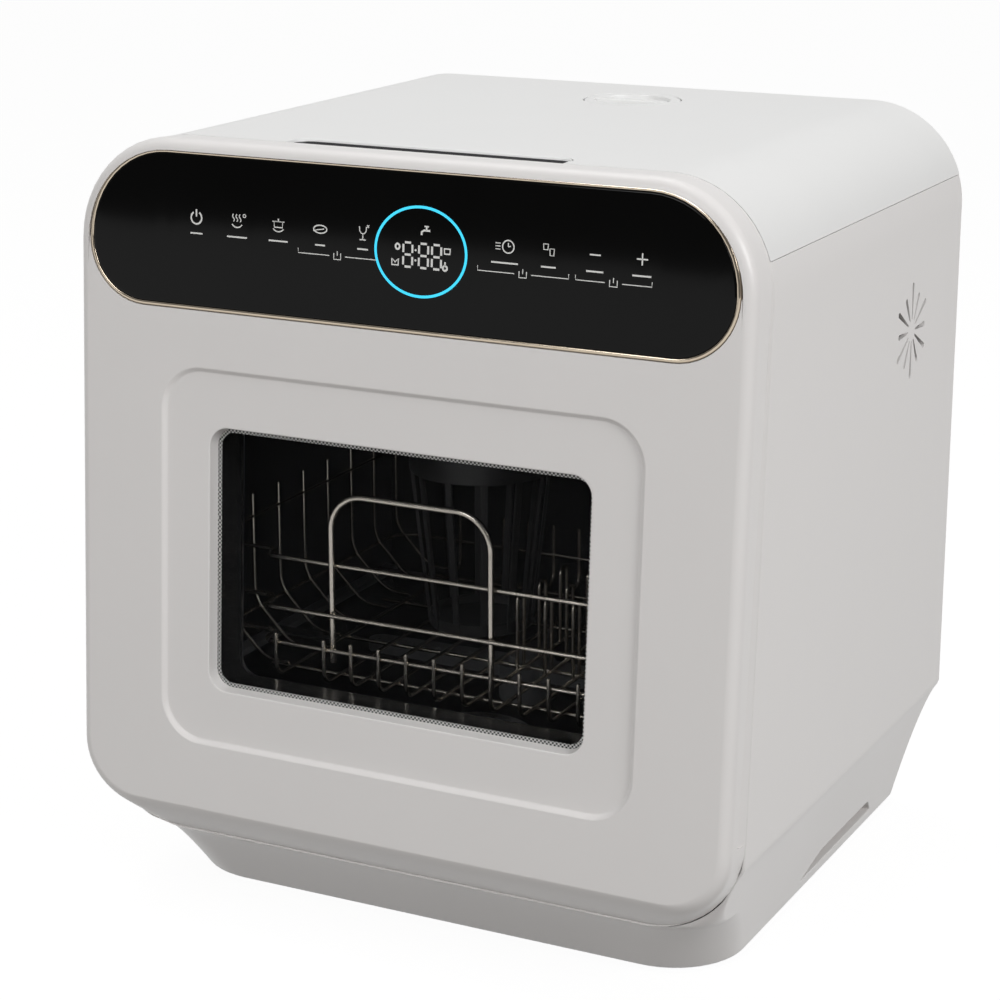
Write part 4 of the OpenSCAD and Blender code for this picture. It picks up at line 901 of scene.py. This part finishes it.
def bent(points, r, steps=6):
    """A polyline whose corners are arcs of radius r, each about a centre on the bisector of its legs."""
    points = [np.asarray(p, float) for p in points]
    out = [points[0][None]]
    for a, b, c in zip(points, points[1:], points[2:]):
        u, v = (a - b) / np.linalg.norm(a - b), (c - b) / np.linalg.norm(c - b)
        half = math.acos(float(np.clip(u @ v, -1, 1))) / 2
        reach = r / math.tan(half)
        f = np.linspace(0, 1, steps + 1)[:, None]
        centre = b + (u + v) / np.linalg.norm(u + v) * r / math.sin(half)
        e0, e1 = b + u * reach - centre, b + v * reach - centre
        turn = math.pi - 2 * half
        out.append(centre + (e0 * np.sin(turn * (1 - f)) + e1 * np.sin(turn * f)) / math.sin(turn))
    return np.concatenate([*out, points[-1][None]])


def wire(path, r, sides=10):
    """A round wire with domed ends: centre + r (normal cos a + binormal sin a) at each point."""
    path = np.asarray(path, float)
    run = np.gradient(path, axis=0)
    run /= np.linalg.norm(run, axis=1)[:, None]
    spread = path - path.mean(0)
    flat = np.linalg.svd(spread, full_matrices=False)[2]
    normal = flat[2] if np.linalg.matrix_rank(spread, tol=1e-4) > 1 else np.cross(run[0], [0.3, 0.5, 0.81])
    normal = normal / np.linalg.norm(normal)
    normal = normal - run * (run @ normal)[:, None]
    normal /= np.linalg.norm(normal, axis=1)[:, None]
    side = np.cross(run, normal)
    turn = np.linspace(0, 2 * math.pi, sides + 1)[:-1]
    around = normal[:, None] * np.cos(turn)[None, :, None] + side[:, None] * np.sin(turn)[None, :, None]
    tube = path[:, None] + r * around
    dome = np.array([0.3, 0.75, 0.999])[:, None, None]
    rim = np.sqrt(1 - dome ** 2)
    start = path[0] - run[0] * r * dome * 0.6 + around[0] * r * rim
    end = path[-1] + run[-1] * r * dome * 0.6 + around[-1] * r * rim
    return skin(np.concatenate([start[::-1], tube, end]), around=True)


def rack(x, y, rise):
    """A point of the rack, with its height counted from the rack's floor."""
    return x, y, RACK_Z + rise


def front_rail(z, y, r):
    """A thick rail across the front, jogged back at both ends."""
    return wire(bent([(-POST_X, JOG_Y, z), (-119, JOG_Y, z), (-118, y, z),
                      (118, y, z), (119, JOG_Y, z), (POST_X, JOG_Y, z)], r), RAIL_R)


def tine(x, y):
    """A plate tine: up, nine millimetres back, and down again."""
    line = [rack(x, y, 1.6), rack(x, y, 48), rack(x, y + 9, 48), rack(x, y + 9, 1.6)]
    return wire(bent(line, 4, 4), WIRE_R, 8)


PITCH, POST_X = 18.6, 150
RAILS = (RACK_Z + 20.5, RACK_Z + 42.5, RACK_Z + 72.0)
PEGS = (-107.5, *(PITCH * np.arange(-4, 6)), 107.5)
RAIL_Y = RACK_Y + 2.7
LEG_Y = RAIL_Y + RAIL_R + BAR_R
LEG_LEFT, LEG_RIGHT, LEG_LOW, LEG_TOP = -71.5, 34.5, RAILS[0] - 8, 257
rails = [front_rail(*spot) for spot in zip(RAILS, (RAIL_Y, RAIL_Y, LEG_Y + RAIL_R + BAR_R), (8, 8, 5))]
piece("front_rails", rails, "rack", [WIRE], ["rack_rails"], sharp=60)
grip_line = [(LEG_LEFT, LEG_Y, LEG_LOW), (LEG_LEFT, LEG_Y, LEG_TOP), (LEG_RIGHT, LEG_Y, LEG_TOP),
             (LEG_RIGHT, LEG_Y, LEG_LOW)]
piece("rack_grip", [wire(bent(grip_line, 22, 12), BAR_R, 14)], "rack", [WIRE], ["rack_handle"],
      sharp=60)

wires = []
for x in PEGS:
    line = [(x, RACK_Y, RAILS[0] + 6.4), rack(x, RACK_Y, 0), rack(x, RACK_BACK + 0.5, 0),
            rack(x, RACK_BACK + 0.5, 40)]
    wires.append(wire(bent(line, 8), PEG_R))
for side in (-1, 1):
    for k in range(8):
        y = JOG_Y + 1 + (RACK_BACK - JOG_Y - 4) * k / 7
        line = [rack(side * RACK_SIDE, y, 94), rack(side * RACK_SIDE, y, 26),
                rack(side * (RACK_SIDE - 26), y, 0), rack(side * (RACK_SIDE - 42), y, 0)]
        wires.append(wire(bent(line, 22), WIRE_R))
    wires.append(wire([rack(side * RACK_SIDE, y, 80) for y in (JOG_Y, 0, RACK_BACK)], WIRE_R))
    wires.append(wire([rack(side * POST_X, JOG_Y, rise) for rise in (12, 60, 118)], PEG_R))
line = [rack(-RACK_SIDE, JOG_Y, 20), rack(-RACK_SIDE, RACK_BACK, 20), rack(RACK_SIDE, RACK_BACK, 20),
        rack(RACK_SIDE, JOG_Y, 20)]
wires.append(wire(bent(line, 18), WIRE_R))
for y in (RACK_Y + 24, -38, 38, RACK_BACK - 14):
    wires.append(wire([rack(x, y, -2) for x in (30 - RACK_SIDE, 0, RACK_SIDE - 30)], WIRE_R))
piece("rack_wires", wires, "rack", [WIRE], ["rack_frame"], sharp=60)
tines = [tine(x, y) for y in (-52, -22, 8) for x in PITCH * np.arange(1, 5)]
piece("plate_tines", tines, "rack", [WIRE], ["rack_tines"], sharp=60)

# %% [markdown]
# ## The cutlery basket
#
# A deep rim band, a small floor dish, and twelve slats between them. The band and the dish are turned
# on a lathe profile, and each slat is a flat bar carried from one to the other.

# %% Basket
BX, BY, BR = -42.0, 18.0, 45.0
B_LOW, B_TOP = RACK_Z + 1.6, RACK_Z + 119.6
band = lathe([(BR - 2.3, B_TOP - 15.6), (BR - 0.4, B_TOP - 16), (BR, B_TOP - 15.4), (BR, B_TOP - 0.8),
              (BR - 0.5, B_TOP), (BR - 2.0, B_TOP), (BR - 2.5, B_TOP - 0.6), (BR - 2.3, B_TOP - 15.6)], BX, BY)
dish = lathe([(0.01, B_LOW), (BR - 13, B_LOW), (BR - 12.2, B_LOW + 0.8), (BR - 12, B_LOW + 7.4),
              (BR - 13, B_LOW + 8), (BR - 14, B_LOW + 7.4), (BR - 14.4, B_LOW + 2.6), (BR - 16, B_LOW + 2),
              (0.01, B_LOW + 2)], BX, BY)
share = np.linspace(0, 1, 7)[:, None]
slat_r = BR - 12.6 + 11.2 * share
slat_z = B_LOW + 2 + (B_TOP - 17 - B_LOW) * share
section = np.array([(-1.0, -2.0), (1.0, -2.0), (1.0, 2.0), (-1.0, 2.0)])
slats = []
for k in range(12):
    c, s = math.cos(math.radians(30 * k)), math.sin(math.radians(30 * k))
    x = BX + (slat_r + section[:, 0]) * c - section[:, 1] * s
    y = BY + (slat_r + section[:, 0]) * s + section[:, 1] * c
    slats.append(skin(np.stack([x, y, np.broadcast_to(slat_z, x.shape)], -1), around=True))
piece("cutlery_holder", [band, dish, *slats], "cutlery_basket", [BASKET],
      ["cutlery_basket"], sharp=40)

# %% [markdown]
# ## Finishes for the CAD parts that stay
#
# The rest of the machine keeps its CAD shape. Each node gets the finish that its name calls for, except the
# tub, whose inside is coloured near-black as painted shade.

# %% Dress the CAD nodes
DRESS = {
    WHITE: ["back_panel", "filler_neck", "inlet_valve"],
    ZINC: ["base_pan", "hinge_arms", "hinge_brackets", "latch_tongue", "case_screws"],
    RUBBER: ["rubber_feet"],
    SHADE_GREY: ["front_frame"],
    SHADED_TUB: ["tub"],
    SEAL: ["tub_gasket", "window_seal", "hoses", "riser_pipe", "cord_gland", "cap_seal"],
    GREY: ["rack_runners", "sump", "spray_hub", "drain_spigot", "filter_cylinder", "lower_spray_arm",
           "dispenser_lid"],
    STEEL: ["filter_plate", "heater", "hinge_pins", "latch_roller"],
    DARK: ["pump_housing", "drain_pump_body", "upper_hub", "upper_spray_arm", "fan_housing", "fan_rotor",
           "latch_housing", "display_module", "rack_glides"],
    CAN: ["pump_motor"],
    TANK: ["water_tank"],
    BOARD: ["power_board", "control_board"],
    PALE: ["wash_impeller", "drain_impeller"],
    LINER: ["door_liner", "dispenser_cup"],
    PANE: ["window_inner"],
}
for material, names in DRESS.items():
    for name in names:
        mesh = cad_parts[name].data
        mesh.materials.clear()
        mesh.materials.append(material)
print(sum(len(v) for v in DRESS.values()), "CAD nodes dressed")

# %% [markdown]
# ## Floor, light and background
#
# The photograph stands on pure white. The floor and the world are white where the camera, a mirror or
# a pane sees them, and greyer for the light that they send back onto the machine. Behind the camera the
# studio is dark, and polished metal and the black glass show that. Three large lamps do the rest: one
# above, one at the right, and a weak one in front that reaches the rack through the window.

# %% Floor and world
def either(tree, *names):
    """The larger of some Light Path outputs: 1 for a ray of any of those kinds, else 0."""
    path = tree.nodes.new("ShaderNodeLightPath")
    found = path.outputs[names[0]]
    for name in names[1:]:
        larger = tree.nodes.new("ShaderNodeMath")
        larger.operation = "MAXIMUM"
        tree.links.new(found, larger.inputs[0])
        tree.links.new(path.outputs[name], larger.inputs[1])
        found = larger.outputs[0]
    return found


AMBIENT = 0.42
world = bpy.data.worlds.new("studio")
bpy.context.scene.world = world
world.use_nodes = True
tree = world.node_tree
link = tree.links.new
dim = tree.nodes["Background"]
dim.inputs["Color"].default_value = (1.0, 0.995, 0.985, 1)
dim.inputs["Strength"].default_value = AMBIENT
plain = tree.nodes.new("ShaderNodeBackground")
plain.inputs["Color"].default_value = (1, 1, 1, 1)
room = tree.nodes.new("ShaderNodeBackground")
heading = tree.nodes.new("ShaderNodeTexCoord")
parts = tree.nodes.new("ShaderNodeSeparateXYZ")
link(heading.outputs["Generated"], parts.inputs[0])
fade = tree.nodes.new("ShaderNodeMapRange")
fade.inputs["From Min"].default_value, fade.inputs["From Max"].default_value = -0.55, -0.1
fade.inputs["To Min"].default_value, fade.inputs["To Max"].default_value = 0.2, 1.0
link(parts.outputs["Y"], fade.inputs["Value"])
link(fade.outputs["Result"], room.inputs["Strength"])
first, second = tree.nodes.new("ShaderNodeMixShader"), tree.nodes.new("ShaderNodeMixShader")
link(either(tree, "Is Camera Ray", "Is Transmission Ray"), first.inputs["Fac"])
link(dim.outputs[0], first.inputs[1])
link(plain.outputs[0], first.inputs[2])
link(either(tree, "Is Glossy Ray"), second.inputs["Fac"])
link(first.outputs[0], second.inputs[1])
link(room.outputs[0], second.inputs[2])
link(second.outputs[0], tree.nodes["World Output"].inputs["Surface"])

floor_mesh = bpy.data.meshes.new("floor")
floor_mesh.from_pydata([(-9, -5.2, 0), (9, -5.2, 0), (9, 9, 0), (-9, 9, 0)], [], [(0, 1, 2, 3)])
floor = bpy.data.objects.new("floor", floor_mesh)
bpy.context.scene.collection.objects.link(floor)
paper = bpy.data.materials.new("paper")
paper.use_nodes = True
tree = paper.node_tree
link = tree.links.new
ground = tree.nodes["Principled BSDF"]
ground.inputs["Base Color"].default_value = (0.20, 0.19, 0.18, 1)
ground.inputs["Roughness"].default_value = 1.0
ground.inputs["Specular IOR Level"].default_value = 0.0
lit_white = tree.nodes.new("ShaderNodeBsdfDiffuse")
lit_white.inputs["Color"].default_value = (0.9, 0.9, 0.9, 1)
glow = tree.nodes.new("ShaderNodeEmission")
glow.inputs["Strength"].default_value = 1.06
white_mix = tree.nodes.new("ShaderNodeMixShader")
white_mix.inputs["Fac"].default_value = 0.88
link(lit_white.outputs[0], white_mix.inputs[1])
link(glow.outputs[0], white_mix.inputs[2])
choose = tree.nodes.new("ShaderNodeMixShader")
link(either(tree, "Is Camera Ray", "Is Glossy Ray", "Is Transmission Ray"), choose.inputs["Fac"])
link(ground.outputs[0], choose.inputs[1])
link(white_mix.outputs[0], choose.inputs[2])
link(choose.outputs[0], tree.nodes["Material Output"].inputs["Surface"])
floor_mesh.materials.append(paper)
floor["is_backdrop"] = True


# %% Lamps
def lamp(name, place, aim, size, power):
    """A round area lamp at a place, turned to a point; size in metres, power in watts."""
    data = bpy.data.lights.new(name, "AREA")
    data.shape, data.size, data.energy = "DISK", size, power
    made = bpy.data.objects.new(name, data)
    made.location = place
    made.rotation_euler = (Vector(aim) - Vector(place)).to_track_quat("-Z", "Y").to_euler()
    bpy.context.scene.collection.objects.link(made)


lamp("key", (2.3, -1.0, 1.5), (0, 0, 0.25), 1.2, 30)
lamp("overhead", (-0.5, 0.2, 2.4), (0, 0, 0.3), 1.4, 11)
lamp("front", (-0.5, -2.3, 1.2), (0, -0.1, 0.2), 0.9, 12)

# %% Sizes, and the end
low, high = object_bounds()
print("visual box", [round(v, 4) for v in (*low, *high)])
